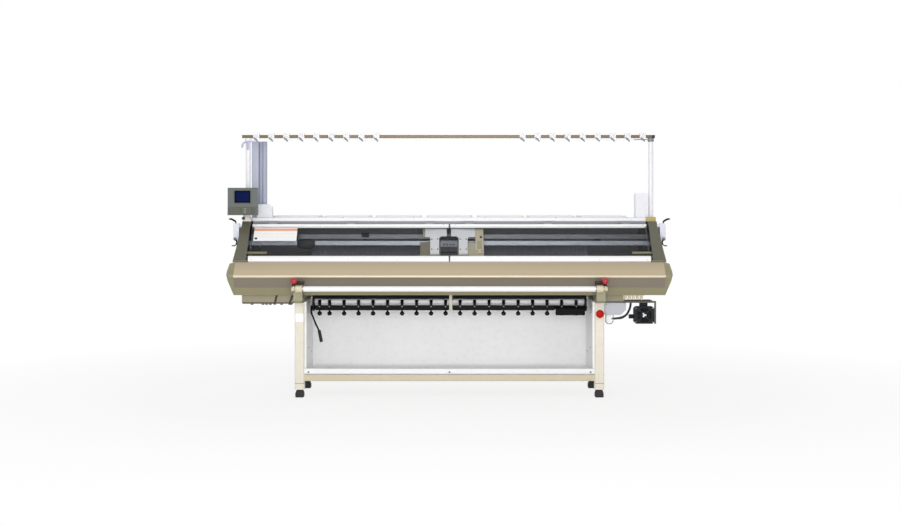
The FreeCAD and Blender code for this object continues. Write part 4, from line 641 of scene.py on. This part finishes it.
class KNIT_OT_knobs(bpy.types.Operator):
    """Sets smooth turned knobs and the clamp screws on the pressure frame."""
    bl_idname = "knit.knobs"
    bl_label = "Pressure knobs"

    def execute(self, context):
        radius = context.scene.knit_fittings.knob_radius
        black = moulded("black knob plastic", "#0C0D10", 0.35, 0.05, shine=0.2)

        def knob(work):
            add_lathe(work, [(r * radius, h * 0.0162) for r, h in ball(1.0, 12)])
            add_lathe(work, [(0.0, 0.0145), (0.0085, 0.0145), (0.0075, 0.0185), (0.006, 0.0205), (0.0, 0.0205)],
                      sides=16)

        repeated("pressure_knobs", knob, [((x, -0.106, 0.604), (0, 0, 1)) for x in KNOB_COLUMNS], black,
                 "pressure_frame", 50.0)
        bright = ground_steel("clamp screw steel", "#8E929C", 0.3)

        def strip(work):
            for x0, x1 in ((-1.002, -0.006), (0.024, 0.786)):
                add_block(work, (x0, STRIP_FRONT, 0.629), (x1, -0.1203, 0.667), 0.0006)

        new_piece("pressure_strip", strip, powder_coat("strip paint", "#07080B", coat=0.0, shine=0.08),
                  "pressure_frame")
        repeated("pressure_screws", screw_head(0.0052, 0.003),
                 [((x, STRIP_FRONT, 0.6575), FRONT_FACE) for x in KNOB_COLUMNS], bright, "pressure_frame")
        return {"FINISHED"}


class KNIT_OT_lever_grip(bpy.types.Operator):
    """Puts a ribbed rubber grip on the pressure frame's release lever."""
    bl_idname = "knit.lever_grip"
    bl_label = "Lever grip"

    def execute(self, context):
        start, end = Vector((-0.9722, -0.1509, 0.483)), Vector((-0.9543, -0.1521, 0.396))
        length = (end - start).length
        profile = [(0.0, 0.0), (0.0098, 0.0), (0.0112, 0.0015)]
        for i in range(13):
            along = 0.006 + i * (length - 0.014) / 12
            profile += [(0.0122, along), (0.0113, along + 0.0028)]
        profile += [(0.0124, length - 0.003), (0.0104, length), (0.0, length)]
        new_piece("lever_grip", turned(profile, facing(start, end - start)),
                  moulded("lever grip rubber", "#2E3030", 0.6, shine=0.2), "pressure_frame", 30)
        return {"FINISHED"}


class KNIT_OT_start_balls(bpy.types.Operator):
    """Makes the two red balls, their black shanks and the bar's end caps and bearings."""
    bl_idname = "knit.start_balls"
    bl_label = "Start bar balls"

    def execute(self, context):
        low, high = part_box("start_balls")
        radius = (high[2] - low[2]) / 2 / math.sin(math.radians(70.0))
        across, depth, level = high[0] - radius, (low[1] + high[1]) / 2, (low[2] + high[2]) / 2
        red = moulded("red ball plastic", "#AE1A2C", 0.2, 0.25, shine=0.4)
        black = moulded("black shank", "#141210", 0.4, 0.05, shine=0.2)
        cream = powder_coat("bar end cap paint", "#D6CDB0")

        def balls(work):
            for side, _ in SIDES:
                add_lathe(work, ball(radius, 20, BALL_CUT), Matrix.Translation((side * across, depth, level)), 36)

        def shanks(work):
            for side, _ in SIDES:
                place = Matrix.Translation((side * across, depth, level - radius - 0.0125))
                add_lathe(work, [(0.0, 0.0), (0.01, 0.0), (0.0135, 0.0035), (0.0135, 0.012), (0.0088, 0.016),
                                 (0.0, 0.016)], place, 20)
                add_block(work, (side * (across - 0.076), depth - 0.009, level - 0.0235),
                          (side * (across - 0.009), depth + 0.009, level + 0.0005), 0.004)

        def caps(work):
            for side, _ in SIDES:
                add_lathe(work, [(0.0, 0.0), (0.0165, 0.0), (0.0178, 0.002), (0.0178, 0.0095), (0.015, 0.0125),
                                 (0.0085, 0.0135), (0.0, 0.0138)],
                          facing((side * 1.1283, depth, BAR_LEVEL), (side, 0, 0)), 28)

        def bearings(work):
            for side, _ in SIDES:
                add_ring(work, [(0.0175, 0.0), (0.024, 0.0), (0.0262, 0.003), (0.0262, 0.0465), (0.024, 0.05),
                                (0.0175, 0.05)], facing((side * 1.0612, depth, BAR_LEVEL), (side, 0, 0)))

        piece = new_piece("start_balls_smooth", balls, red, "start_bar", 50)
        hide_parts("start_balls")
        new_piece("ball_shanks", shanks, black, "start_bar", 40)
        new_piece("start_bar_caps", caps, cream, "start_bar", 40)
        new_piece("start_bearings", bearings, cream, "frame", 40)
        return {"FINISHED"}


class KNIT_OT_stop_cap(bpy.types.Operator):
    """Makes the stop button's mushroom cap and stem."""
    bl_idname = "knit.stop_cap"
    bl_label = "Stop button"

    def execute(self, context):
        low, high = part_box("stop_button")
        middle, _, level = middle_of(low, high)
        cap = turned([(0.0, -0.0134), (0.011, -0.0134), (0.011, 0.0008), (0.0235, 0.0), (0.0284, 0.0012),
                      (0.03, 0.0048), (0.0291, 0.0098), (0.0255, 0.0139), (0.02, 0.0163), (0.012, 0.0168),
                      (0.0105, 0.0186), (0.0, 0.0189)], facing((middle, low[1] + 0.019, level), FRONT_FACE), 40)
        piece = new_piece("stop_cap_smooth", cap, moulded("stop cap plastic", "#B81604", 0.35, 0.0, shine=0.1),
                          "stop_button", 35)
        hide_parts("stop_button")
        return {"FINISHED"}


class KNIT_OT_tension_parts(bpy.types.Operator):
    """Adds the discs and the slanting springs to the yarn tensioners."""
    bl_idname = "knit.tension_parts"
    bl_label = "Tensioner parts"

    def execute(self, context):
        columns = [side * (0.555 + i * 0.114) for side, _ in SIDES for i in range(9)]
        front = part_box("yarn_tensioners")[0][1]

        def discs(work):
            for start in (0.0, 0.0045, 0.009):
                add_lathe(work, [(0.0, start), (0.0085, start), (0.0098, start + 0.001), (0.0085, start + 0.002),
                                 (0.0, start + 0.0022)], sides=18)
            add_lathe(work, [(0.0, 0.0), (0.0028, 0.0), (0.0028, 0.015), (0.0045, 0.0158), (0.0045, 0.019),
                             (0.0, 0.0195)], sides=10)

        repeated("tension_discs", discs, [((x, 0.0395, 1.945), FRONT_FACE) for x in columns],
                 moulded("tension disc plastic", "#EDEDEF", 0.35), "frame", 35.0)
        profile = [(0.0, 0.0), (0.005, 0.0)]
        for i in range(10):
            profile += [(0.0058, 0.002 + i * 0.004), (0.0047, 0.004 + i * 0.004)]
        slant = Vector((0.034, -0.006, -0.03))
        repeated("tension_springs", turned(profile + [(0.004, 0.044), (0.0, 0.0442)], sides=10),
                 [((x - 0.018, front + 0.0115, 1.9265), slant) for x in columns],
                 powder_coat("spring paint", "#8D9098"), "frame")
        return {"FINISHED"}


class KNIT_OT_screws(bpy.types.Operator):
    """Sets the rows of cover screws, one piece for each body."""
    bl_idname = "knit.screws"
    bl_label = "Cover screws"

    def execute(self, context):
        radius = context.scene.knit_fittings.screw_radius
        bright = ground_steel("screw steel", "#A7AAB2", 0.25)
        lip = [((x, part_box("bin_lip")[0][1], 0.187), FRONT_FACE) for x in (-1.037, 0.0, 1.037)]
        repeated("lip_screws", screw_head(0.0075, 0.0035), lip, powder_coat("lip screw paint", "#8A8B90"), "frame")
        rows = []
        for side, name in SIDES:
            rows += [((side * (1.054 - 0.0003), y, z), (-side, 0, 0)) for y, z in (
                (-0.151, 0.613), (-0.102, 0.349), (0.12, 0.62), (0.12, 0.3))]
            for node, spots in (("end_frame_" + name, ((-0.05, 1.262), (0.2, 1.262), (0.445, 1.262), (-0.22, 1.06),
                                                       (0.445, 1.06))),
                                ("end_caps", ((-0.3, 0.94), (0.05, 0.94), (0.4, 0.94), (-0.26, 0.83),
                                              (0.05, 0.83), (0.38, 0.83)))):
                rows += [seat(node, (side * 2, y, z), (-side, 0, 0)) for y, z in spots]
        for x in (-1.35, -0.81, -0.27, 0.27, 0.81, 1.35):
            rows += [((x, 0.48, z), (0, 1, 0)) for z in (0.86, 1.262)]
            rows += [((x, y, 1.32), (0, 0, 1)) for y in (0.06, 0.016)]
        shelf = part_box("power_shelf")[0][1] + 0.0085
        rows += [((x, shelf, z), FRONT_FACE) for x, z in ((1.156, 0.684), (1.288, 0.684), (1.156, 0.618))]
        repeated("cover_screws", screw_head(radius, radius * 0.55), rows, bright, "frame")
        for side, name in SIDES:
            marks = [((side * x, -0.336, 1.015), FRONT_FACE) for x in (1.452, 1.1, 0.74, 0.38, 0.045)]
            marks += [((side * x, -0.084, 1.2655), FRONT_FACE) for x in (1.452, 0.045)]
            repeated("rail_screws_" + name, screw_head(0.0042, 0.0018), marks,
                     powder_coat("rail screw paint %d" % (side + 2), "#C9C9CE"), "window_" + name)
        return {"FINISHED"}


class KNIT_OT_screen_parts(bpy.types.Operator):
    """Adds the screen's bezel, its keypad and keys, and the clamp knob below it."""
    bl_idname = "knit.screen_parts"
    bl_label = "Screen keys"

    def execute(self, context):
        low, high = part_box("monitor_screen")
        face = -0.176

        def bezel(work):
            join_loops(work, [[(x, depth, z) for x, z in (
                (low[0] - grow, low[2] - grow), (high[0] + grow, low[2] - grow),
                (high[0] + grow, high[2] + grow), (low[0] - grow, high[2] + grow))] for grow, depth in (
                    (0.0045, face), (0.0075, face), (0.0065, face - 0.002), (0.001, face - 0.002),
                    (0.0, face + 0.0015), (0.0045, face + 0.0015))], ring=True)

        new_piece("screen_bezel", bezel, moulded("bezel plastic", "#61635D", 0.5, shine=0.3), "monitor", 30)
        middle = (low[0] + high[0]) / 2
        slope = Vector((0, -1, 0.148)).normalized()

        def on_panel(x, z, lift):
            return Vector((x, face - 0.008 * (1.402 - z) / 0.054, z)) + slope * lift

        def pad(work):
            corners = [on_panel(middle + x, z, 0.0002) for x, z in ((-0.092, 1.3525), (0.092, 1.3525),
                                                                    (0.092, 1.3965), (-0.092, 1.3965))]
            join_loops(work, [[corner + slope * lift for corner in corners] for lift in (-0.001, 0.0012)])

        new_piece("key_pad", pad, moulded("key pad plastic", "#595B53", 0.6, shine=0.3), "monitor")

        def key(work):
            add_block(work, (-0.0068, -0.0042, 0.0), (0.0068, 0.0042, 0.0026), 0.001)

        def keys(name, columns, material):
            repeated(name, key, [(on_panel(middle - 0.078 + column * 0.0165, 1.3605 + row * 0.0138, 0.0012), slope)
                                 for column in columns for row in range(3)], material, "monitor")

        keys("dark_keys", (0, 1, 2, 3, 5, 7, 8), moulded("dark key plastic", "#6B6D64", 0.5, shine=0.3))
        keys("pale_keys", (6,), moulded("pale key plastic", "#92948A", 0.5))
        knob = turned([(0.0, -0.002), (0.005, -0.002), (0.005, 0.004), (0.0115, 0.005), (0.0125, 0.008),
                       (0.0125, 0.0165), (0.0105, 0.0195), (0.0, 0.02)],
                      facing((-1.545, -0.076, 1.316), FRONT_FACE), 20)
        new_piece("bracket_knob", knob, moulded("bracket knob plastic", "#141416", 0.35), "frame", 40)
        return {"FINISHED"}


class KNIT_OT_plates(bpy.types.Operator):
    """Adds the blank plate on the left window and the blank plate on the left leg."""
    bl_idname = "knit.plates"
    bl_label = "Blank plates"

    def execute(self, context):
        normal = Vector((0, -0.7119, 0.7023))

        def plate(work):
            corners = [Vector((x, -0.304 + (z - 1.034) * 0.22 / 0.223, z)) for x, z in (
                (-1.459, 1.149), (-1.138, 1.149), (-1.138, 1.242), (-1.459, 1.242))]
            join_loops(work, [[corner + normal * lift for corner in corners] for lift in (0.0002, 0.0016)])

        new_piece("window_plate", plate, powder_coat("plate paint", "#FDFDFD", 0.45, marks=[
            mark("#F0A884", z0=1.2215, z1=1.239),
            mark("#3B3C44", x0=-1.45, x1=-1.43, z0=1.16, z1=1.1745),
            mark("#E9D3C6", x0=-1.4, x1=-1.15, z0=1.1985, z1=1.2),
            mark("#E9D3C6", x0=-1.4, x1=-1.15, z0=1.1785, z1=1.18)]), "window_left")
        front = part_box("front_legs")[0][1]

        def leg_plate(work):
            add_block(work, (-1.133, front - 0.0012, 0.556), (-1.073, front + 0.0004, 0.619), 0.0006)

        new_piece("leg_plate", leg_plate, powder_coat("leg plate paint", "#FAFAFA", 0.35), "frame")
        rivets = [((x, front - 0.0012, z), FRONT_FACE) for x in (-1.129, -1.077) for z in (0.5605, 0.6145)]
        repeated("leg_plate_rivets", screw_head(0.0018, 0.001), rivets, ground_steel("rivet steel", "#B0B2B8"),
                 "frame")
        return {"FINISHED"}


class KNIT_OT_under_straps(bpy.types.Operator):
    """Adds the two slanted straps and the row of clips on the left under-bed box."""
    bl_idname = "knit.under_straps"
    bl_label = "Under-bed straps"

    def execute(self, context):
        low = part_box("under_box_left")[0]
        front, half = low[1], 0.0075
        foot_z, top_z = 0.6885, 0.752

        def straps(work):
            for foot, top in ((-1.286, -1.27), (-1.178, -1.153)):
                join_loops(work, [[(x, y, z) for x, z in ((foot - half, foot_z), (foot + half, foot_z),
                                                          (top + half, top_z), (top - half, top_z))]
                                  for y in (front - 0.0002, front - 0.0042)])
                add_block(work, (foot - half, front - 0.0042, foot_z - 0.006),
                          (foot + half, front + 0.03, foot_z - 0.0002), 0.001)

        new_piece("under_straps", straps, moulded("strap rubber", "#3A332A", 0.6), "frame")

        def clip(work):
            add_block(work, (-0.009, -0.012, -0.0065), (0.009, 0.016, 0.0005), 0.002)
            add_block(work, (-0.004, -0.015, -0.0045), (0.004, -0.01, 0.008), 0.0015)

        places = [((x, front + 0.006, low[2]), (0, 0, 1)) for x in (-1.452, -1.372, -1.345, -1.318, -1.235, -1.165)]
        repeated("under_clips", clip, places, moulded("clip plastic", "#2C2822", 0.6), "frame")
        return {"FINISHED"}


class KNIT_OT_fan_parts(bpy.types.Operator):
    """Adds the fan's wire guard, its corner screws and the pale three-lobed hub cover."""
    bl_idname = "knit.fan_parts"
    bl_label = "Fan parts"

    def execute(self, context):
        low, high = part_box("fan_rotor")
        middle, _, level = middle_of(low, high)
        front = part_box("fan_housing")[0][1]

        def guard(work):
            place = facing((middle, front - 0.0005, level), FRONT_FACE)
            for radius in (0.018, 0.03, 0.042, 0.0545):
                add_ring(work, [(radius - 0.0012, 0.0012), (radius, 0.0001), (radius + 0.0012, 0.0012),
                                (radius, 0.0024)], place, 36)
            for i in range(4):
                east, up = math.cos(math.radians(45 + 90 * i)), math.sin(math.radians(45 + 90 * i))
                place = facing((middle + 0.018 * east, front - 0.0012, level + 0.018 * up), (east, 0, up))
                add_lathe(work, [(0.0, 0.0), (0.0013, 0.0), (0.0013, 0.043), (0.0, 0.043)], place, 8)

        new_piece("fan_guard", guard, moulded("guard wire", "#3A3D42", 0.35, 0.1), "frame", 40)

        def hub(work):
            outline = [(0.0125 + 0.0072 * math.cos(3 * a), a) for a in round_steps(36)]
            join_loops(work, [[(middle + r * share * math.cos(a), low[1] - lift, level + r * share * math.sin(a))
                               for r, a in outline] for share, lift in ((1.0, 0.0001), (0.93, 0.0018))])

        new_piece("fan_hub_cover", hub, moulded("hub cover plastic", "#F2F3F5", 0.35), "fan_rotor", 40)
        corners = [((middle + sx * 0.062, front, level + sz * 0.05), FRONT_FACE) for sx in (-1, 1) for sz in (-1, 1)]
        repeated("fan_screws", screw_head(0.0042, 0.0022), corners, ground_steel("fan screw steel", "#9FA3AA"), "frame")
        return {"FINISHED"}


class KNIT_OT_carriage_parts(bpy.types.Operator):
    """Adds the carriage's cream end plate, cover bolts, head plate and feeder plungers."""
    bl_idname = "knit.carriage_parts"
    bl_label = "Carriage parts"

    def execute(self, context):
        under, over = 0.0886, 0.0975
        outline = [on_bed(0.188, under), on_bed(0.188, over)]
        outline += [(THROAT_Y, BED_TOP + (height / math.cos(SLOPE) + 0.004 * math.tan(SLOPE)))
                    for height in (over, under)]
        cream = powder_coat("carriage end plate paint", "#D9CFB4", marks=[
            mark("#2B2A28", x0=0.226, x1=0.2445, z0=1.168, z1=1.184),
            mark("#B9AE90", x0=0.205, x1=0.243, z0=1.09, z1=1.15)])
        new_piece("carriage_end_plate", lambda work: extruded(work, outline, (0.1935, 0.2535)), cream, "carriage")
        bolts = [bed_spot(x + dx, run, 0.1) for x in (-0.11, 0.102) for run in (0.035, 0.15)
                 for dx in (-0.022, 0.022)]
        bolts += [bed_spot(x, 0.168, over if x > 0 else 0.088) for x in (-0.205, -0.15, 0.205, 0.24)]
        repeated("carriage_bolts", screw_head(0.0055, 0.0034), bolts, ground_steel("bolt steel", "#9DA0A8", 0.25),
                 "carriage")
        run = [on_bed(0.052, 0.101), on_bed(0.052, 0.105), on_bed(0.008, 0.105), on_bed(0.008, 0.101)]
        new_piece("carriage_head_plate", lambda work: extruded(work, run, (-0.066, 0.056)),
                  powder_coat("head plate paint", "#101217", coat=0.03, shine=0.12), "carriage")
        plunger = turned([(0.0, -0.001), (0.0075, -0.001), (0.0075, 0.0018), (0.0055, 0.0026), (0.0055, 0.0042),
                          (0.0046, 0.005), (0.0, 0.005)], sides=16)
        repeated("feeder_plungers", plunger, [bed_spot(x, 0.112, 0.1118) for x in (-0.04, -0.016, 0.008, 0.032)],
                 moulded("plunger plastic", "#23262B", 0.35, 0.2), "carriage")
        return {"FINISHED"}


class KNIT_OT_carrier_shoe(bpy.types.Operator):
    """Adds the wide dark shoe in front of the first parked yarn carrier."""
    bl_idname = "knit.carrier_shoe"
    bl_label = "Carrier shoe"

    def execute(self, context):
        low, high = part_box("yarn_carrier_1")
        middle, front, top = (low[0] + high[0]) / 2, low[1], high[2]
        outline = [(0.0, -0.002), (-0.013, -0.01), (-0.0235, -0.046), (-0.0165, -0.071), (-0.0085, -0.074),
                   (0.0, -0.051)]
        wings = ((-0.067, 0.55), (-0.05, 0.9), (-0.028, 1.0), (0.028, 1.0), (0.05, 0.9), (0.067, 0.5))

        def shoe(work):
            join_loops(work, [[(middle + x, front + y * share, top - 0.03 + (z + 0.03) * share)
                               for y, z in outline] for x, share in wings])

        new_piece("carrier_shoe", shoe, moulded("carrier shoe plastic", "#101216", 0.4, shine=0.2), "yarn_carrier_1",
                  35)
        return {"FINISHED"}


class KNIT_OT_trim(bpy.types.Operator):
    """Adds the guard under the beam, window ledges and buffers, and the sleeves of cable, guides and springs."""
    bl_idname = "knit.trim"
    bl_label = "Trim"

    def execute(self, context):
        under = 0.733 + 0.0003

        def guard(work):
            add_block(work, (-1.015, -0.103, under), (1.015, -0.101, 0.7947), 0.0005)
            add_block(work, (-1.015, -0.113, under), (1.015, -0.103, 0.733 + 0.002), 0.0004)

        new_piece("beam_guard", guard, powder_coat("guard paint", "#0A0C0F", 0.45, coat=0.0, shine=0.08), "frame")
        run = [on_bed(0.196, 0.1075), on_bed(0.215, 0.1075), on_bed(0.215, 0.1165), on_bed(0.196, 0.1165)]
        for side, name in SIDES:
            new_piece("window_ledge_" + name, lambda work: extruded(work, run, (side * 1.345, side * 1.492)),
                      powder_coat("ledge paint " + name, "#7E7A5E"), "frame")
        rubber = moulded("buffer rubber", "#121315", 0.6, shine=0.15)

        def buffers(work):
            for side, _ in SIDES:
                add_block(work, (side * 1.4785, -0.339, 0.999), (side * 1.4902, -0.318, 1.03), 0.002)

        new_piece("window_buffers", buffers, rubber, "frame")
        pin_x, pin_z = 1.6, 1.163
        for side, name in SIDES:
            wire_piece("guide_sleeve_" + name, [(side * x, -0.11, z) for x, z in (
                (1.6003, 1.293), (1.62, 1.305), (1.633, 1.311), (1.64, 1.311))], 0.007, rubber, "frame", 14)
            wire_piece("side_sleeve_" + name, [(side * (pin_x + x), -0.139, pin_z + z) for x, z in (
                (-0.0065, -0.0105), (-0.014, -0.024), (-0.01, -0.0385))], 0.0062, rubber, "side_arm_" + name, 12)
        self.sleeve()
        return {"FINISHED"}

    def sleeve(self):
        """Corrugated sleeve round the fan's power cable, which both ends hold."""
        route = [(1.338, -0.25, 0.696), (1.338, -0.25, 0.655), (1.29, -0.25, 0.577), (1.195, -0.25, 0.577)]
        mesh = curve_mesh("sleeve_line", "NURBS", route, {"resolution_u": 24}, {"order_u": 3, "use_endpoint_u": True})
        line = [vert.co.copy() for vert in mesh.vertices]
        bpy.data.meshes.remove(mesh)
        steps = [0.0]
        for one, two in zip(line[:-1], line[1:]):
            steps.append(steps[-1] + (two - one).length)

        def along(distance):
            """Where the line is after a distance, and its way there."""
            i = next(i for i in range(len(line) - 1) if distance <= steps[i + 1])
            share = (distance - steps[i]) / (steps[i + 1] - steps[i])
            return line[i].lerp(line[i + 1], share), (line[i + 1] - line[i]).normalized()

        rib = 0.0018
        rings = []
        for i in range(int((steps[-1] - 0.012) / rib)):
            place, radius = facing(*along(0.004 + i * rib)), (0.0088, 0.0088, 0.0076, 0.0076)[i % 4]
            rings.append([place @ Vector((radius * math.cos(a), radius * math.sin(a), 0)) for a in round_steps(14)])
        new_piece("cable_sleeve", lambda work: join_loops(work, rings), moulded("sleeve plastic", "#121316", 0.4),
                  "frame", 60)


# ---- finishes of the CAD nodes ----
class KNIT_OT_finishes(bpy.types.Operator):
    """Gives every CAD node its own paint, metal, rubber or plastic; some finishes also carry painted shade or a painted
    highlight.
    """
    bl_idname = "knit.finishes"
    bl_label = "Finishes"

    def execute(self, context):
        finishes = {
            "front_legs back_legs side_ties": powder_coat("cream paint", "#E6DFCF", marks=[
                mark("#6E6652", z0=0.1035, z1=0.1065)]),
            "start_brackets": powder_coat("bracket paint", "#DCD3B4"),
            "monitor_bracket": powder_coat("screen bracket paint", "#EFEBE0"),
            "takedown_strut": powder_coat("strut paint", "#DAD2BC"),
            "levelling_feet": moulded("foot rubber", "#1C1C1A", 0.7),
            "long_beams": powder_coat("beam paint", "#CFC3A8"),
            "leg_blocks end_caps": powder_coat("olive paint", "#8F8A6A"),
            "lower_cover": powder_coat("lower cover paint", "#918A6B"),
            # The dark band along the under box's bottom edge is painted shade.
            "under_box_left": powder_coat("under box paint", "#9C9177", marks=[mark("#5A5142", z1=0.703)]),
            "power_shelf": powder_coat("shelf paint", "#8E8668", marks=[
                mark("#BBBDC5", x1=1.305, z1=0.6955),
                mark("#F4F4F6", x0=1.1585, x1=1.1955, y0=-0.2625, y1=-0.2375, z1=0.6055),
                mark("#E0D6B8", x0=1.284, y1=-0.262, z0=0.7095),
                mark("#3B3630", z0=0.6957, z1=0.7093),
                mark("#4A443C", x0=1.479, z1=0.7093)]),
            "bin_sides": powder_coat("bin side paint", "#F7F7F8", 0.35),
            "bin_tray": powder_coat("bin tray paint", "#F9F9F9", 0.35),
            "bin_lip": powder_coat("white paint", "#F3F3F5", 0.38),
            "bed_beam_front": powder_coat("bed casting paint", "#3C3D40", 0.5),
            "bed_beam_back": powder_coat("rear casting paint", "#3C3D40", 0.5),
            "needle_bed_front": needle_steel("front bed steel", "#77797F"),
            "needle_bed_back": needle_steel("rear bed steel", "#85878C"),
            "guide_bars": ground_steel("guide bar steel", "#9EA1AA", 0.22),
            # The upper feeder rails' darker colour is painted shade; they are the same steel as the lower ones.
            "feeder_rails": ground_steel("feeder rail steel", "#6F737B", marks=[mark("#434447", z0=1.156)]),
            "takedown_frame side_arm_left side_arm_right yarn_carrier_1 yarn_carrier_2 yarn_carrier_3": powder_coat(
                "black oxide", "#08090C", 0.45, coat=0.0, shine=0.08),
            "carriage_cam_boxes": powder_coat("cam box paint", "#7D7762", marks=[
                mark("#101216", x0=-0.068, x1=0.06),
                mark("#7F838D", x0=-0.068, x1=0.06, z0=1.106, z1=1.15),
                mark("#BDB79F", x0=0.138)]),
            "carriage_bridge": powder_coat("bridge paint", "#F7F8FC", marks=[mark("#A49E92", x1=-0.182, z0=1.12)]),
            "window_frame_left window_frame_right": powder_coat("window rail paint", "#F4F4F6", 0.35, marks=[
                mark("#5B5C61", x0=-0.0065, x1=0.0065),
                mark("#85878F", z0=1.2728),
                # Painted shadow line along the lower rail's bottom edge, where it meets the gold cover.
                mark("#A9A8AA", y1=-0.3, z1=1.0035),
                # Painted shadow: the rail ends inside the end frames are darkened.
                mark("#131416", x1=-1.44, z0=1.043, z1=1.242),
                mark("#131416", x0=1.44, z0=1.043, z1=1.242)]),
            "window_pane_left window_pane_right": smoked_pane(),
            "front_cover rear_cover": gold_sheet(),
            # The dark inner faces of the end frames beside the windows are painted shadow.
            "end_frame_left": powder_coat("olive grey side plate left", "#5E5C4C", marks=[
                mark("#141517", x0=-1.4915, y1=-0.05, z0=1.04, z1=1.262)]),
            "end_frame_right": powder_coat("olive grey side plate right", "#5E5C4C", marks=[
                mark("#141517", x1=1.4915, y1=-0.05, z0=1.04, z1=1.262)]),
            "hood": powder_coat("hood paint", "#F1F1F3", marks=[mark("#83858E", y1=0.02, z1=1.2928)]),
            "yarn_trays": powder_coat("tray paint", "#EDEDEF"),
            # The inner wall's grey is painted shade: it stands for the shadowed inside of the machine seen through the
            # windows.
            "inner_wall": powder_coat("inner wall paint", "#606164", 0.6),
            "takedown_roller": moulded("takedown roller rubber", "#F6F7FC", grain=300.0),
            "pinch_rollers": moulded("pinch roller rubber", "#FCFCFF", 0.4, grain=300.0),
            "pressure_frame": powder_coat("pressure frame paint", "#07080B", 0.45, coat=0.0, shine=0.08),
            "start_bar": powder_coat("start bar paint", "#F5F5F6", 0.3, marks=[
                mark("#D5CCAF", x0=1.1125), mark("#D5CCAF", x1=-1.1125)]),
            "start_balls": moulded("red ball plastic", "#C2324A", 0.2, 0.6),
            "stop_collar": moulded("stop collar plastic", "#6A3A2E", 0.5),
            "stop_button": moulded("stop cap plastic", "#C62A12", 0.3, 0.4),
            "yarn_poles": powder_coat("pole paint", "#F0F0F4", 0.35, marks=[
                mark("#7E8189", x0=1.4, z0=1.8965), mark("#B4B6CC", x1=-1.46, y1=0.0445, z0=1.835, z1=1.9045)]),
            "top_bar": powder_coat("bronze bar finish", "#6B5A3E", 0.35, 0.3, marks=[mark("#17181A", x0=1.536)]),
            "yarn_tensioners": moulded("tensioner plastic", "#F2F2F4", 0.35, 0.3, marks=[
                mark("#8A8D96", y1=0.037, z1=1.9305)]),
            "cable_column": lavender_column(),
            "supply_boxes": powder_coat("supply box paint", "#E9EAF0", 0.4),
            "pole_block": powder_coat("dull brass", "#A9975A", 0.4, 0.2),
            "monitor_case": moulded("screen case plastic", "#666C69", 0.5, shine=0.3, marks=[
                mark("#3F4A55", z0=1.5405), mark("#5F615A", y1=-0.16, z0=1.34, z1=1.404)]),
            "monitor_screen": screen_face(),
            "side_boxes": powder_coat("side box paint", "#DCDEE8", 0.4, marks=[mark("#1A1B1E", z0=1.2795)]),
            "cables": moulded("cable jacket", "#1B1B1D", 0.55, marks=[mark("#6F7178", y0=-0.275, y1=-0.262)]),
            "fan_housing": moulded("fan housing plastic", "#12151B", 0.5, shine=0.2),
            "fan_rotor": moulded("fan rotor plastic", "#20242A", 0.4, shine=0.3),
        }
        finishes = {node: material for nodes, material in finishes.items() for node in nodes.split()}
        missing = sorted(set(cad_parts) - set(finishes))
        if missing:
            raise RuntimeError("no finish for %s" % missing)
        for node, material in finishes.items():
            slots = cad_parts[node].data.materials
            if not slots:
                slots.append(material)
            for index in range(len(slots)):
                slots[index] = material
        return {"FINISHED"}


class KNIT_PT_panel(bpy.types.Panel):
    """Lists the machine's pieces."""
    bl_idname = "KNIT_PT_panel"
    bl_label = "Knitting machine"
    bl_space_type = "VIEW_3D"
    bl_region_type = "UI"
    bl_category = "Knitting"

    def draw(self, context):
        for operator in OPERATORS:
            self.layout.operator(operator.bl_idname)


GROUPS = {"knit_stage": KNIT_PG_stage, "knit_fittings": KNIT_PG_fittings}
OPERATORS = [KNIT_OT_finishes, KNIT_OT_needles, KNIT_OT_knobs, KNIT_OT_lever_grip, KNIT_OT_start_balls,
             KNIT_OT_stop_cap, KNIT_OT_tension_parts, KNIT_OT_screws, KNIT_OT_screen_parts, KNIT_OT_plates,
             KNIT_OT_under_straps, KNIT_OT_fan_parts, KNIT_OT_carriage_parts, KNIT_OT_carrier_shoe, KNIT_OT_trim,
             KNIT_OT_stage]


def register():
    for group in GROUPS.values():
        bpy.utils.register_class(group)
    for name, group in GROUPS.items():
        setattr(bpy.types.Scene, name, bpy.props.PointerProperty(type=group))
    for operator in OPERATORS:
        bpy.utils.register_class(operator)
    bpy.utils.register_class(KNIT_PT_panel)


def unregister():
    bpy.utils.unregister_class(KNIT_PT_panel)
    for operator in reversed(OPERATORS):
        bpy.utils.unregister_class(operator)
    for name, group in GROUPS.items():
        delattr(bpy.types.Scene, name)
        bpy.utils.unregister_class(group)


def main():
    register()
    for operator in OPERATORS:
        group, name = operator.bl_idname.split(".")
        getattr(getattr(bpy.ops, group), name)()


if __name__ == "__main__":
    main()
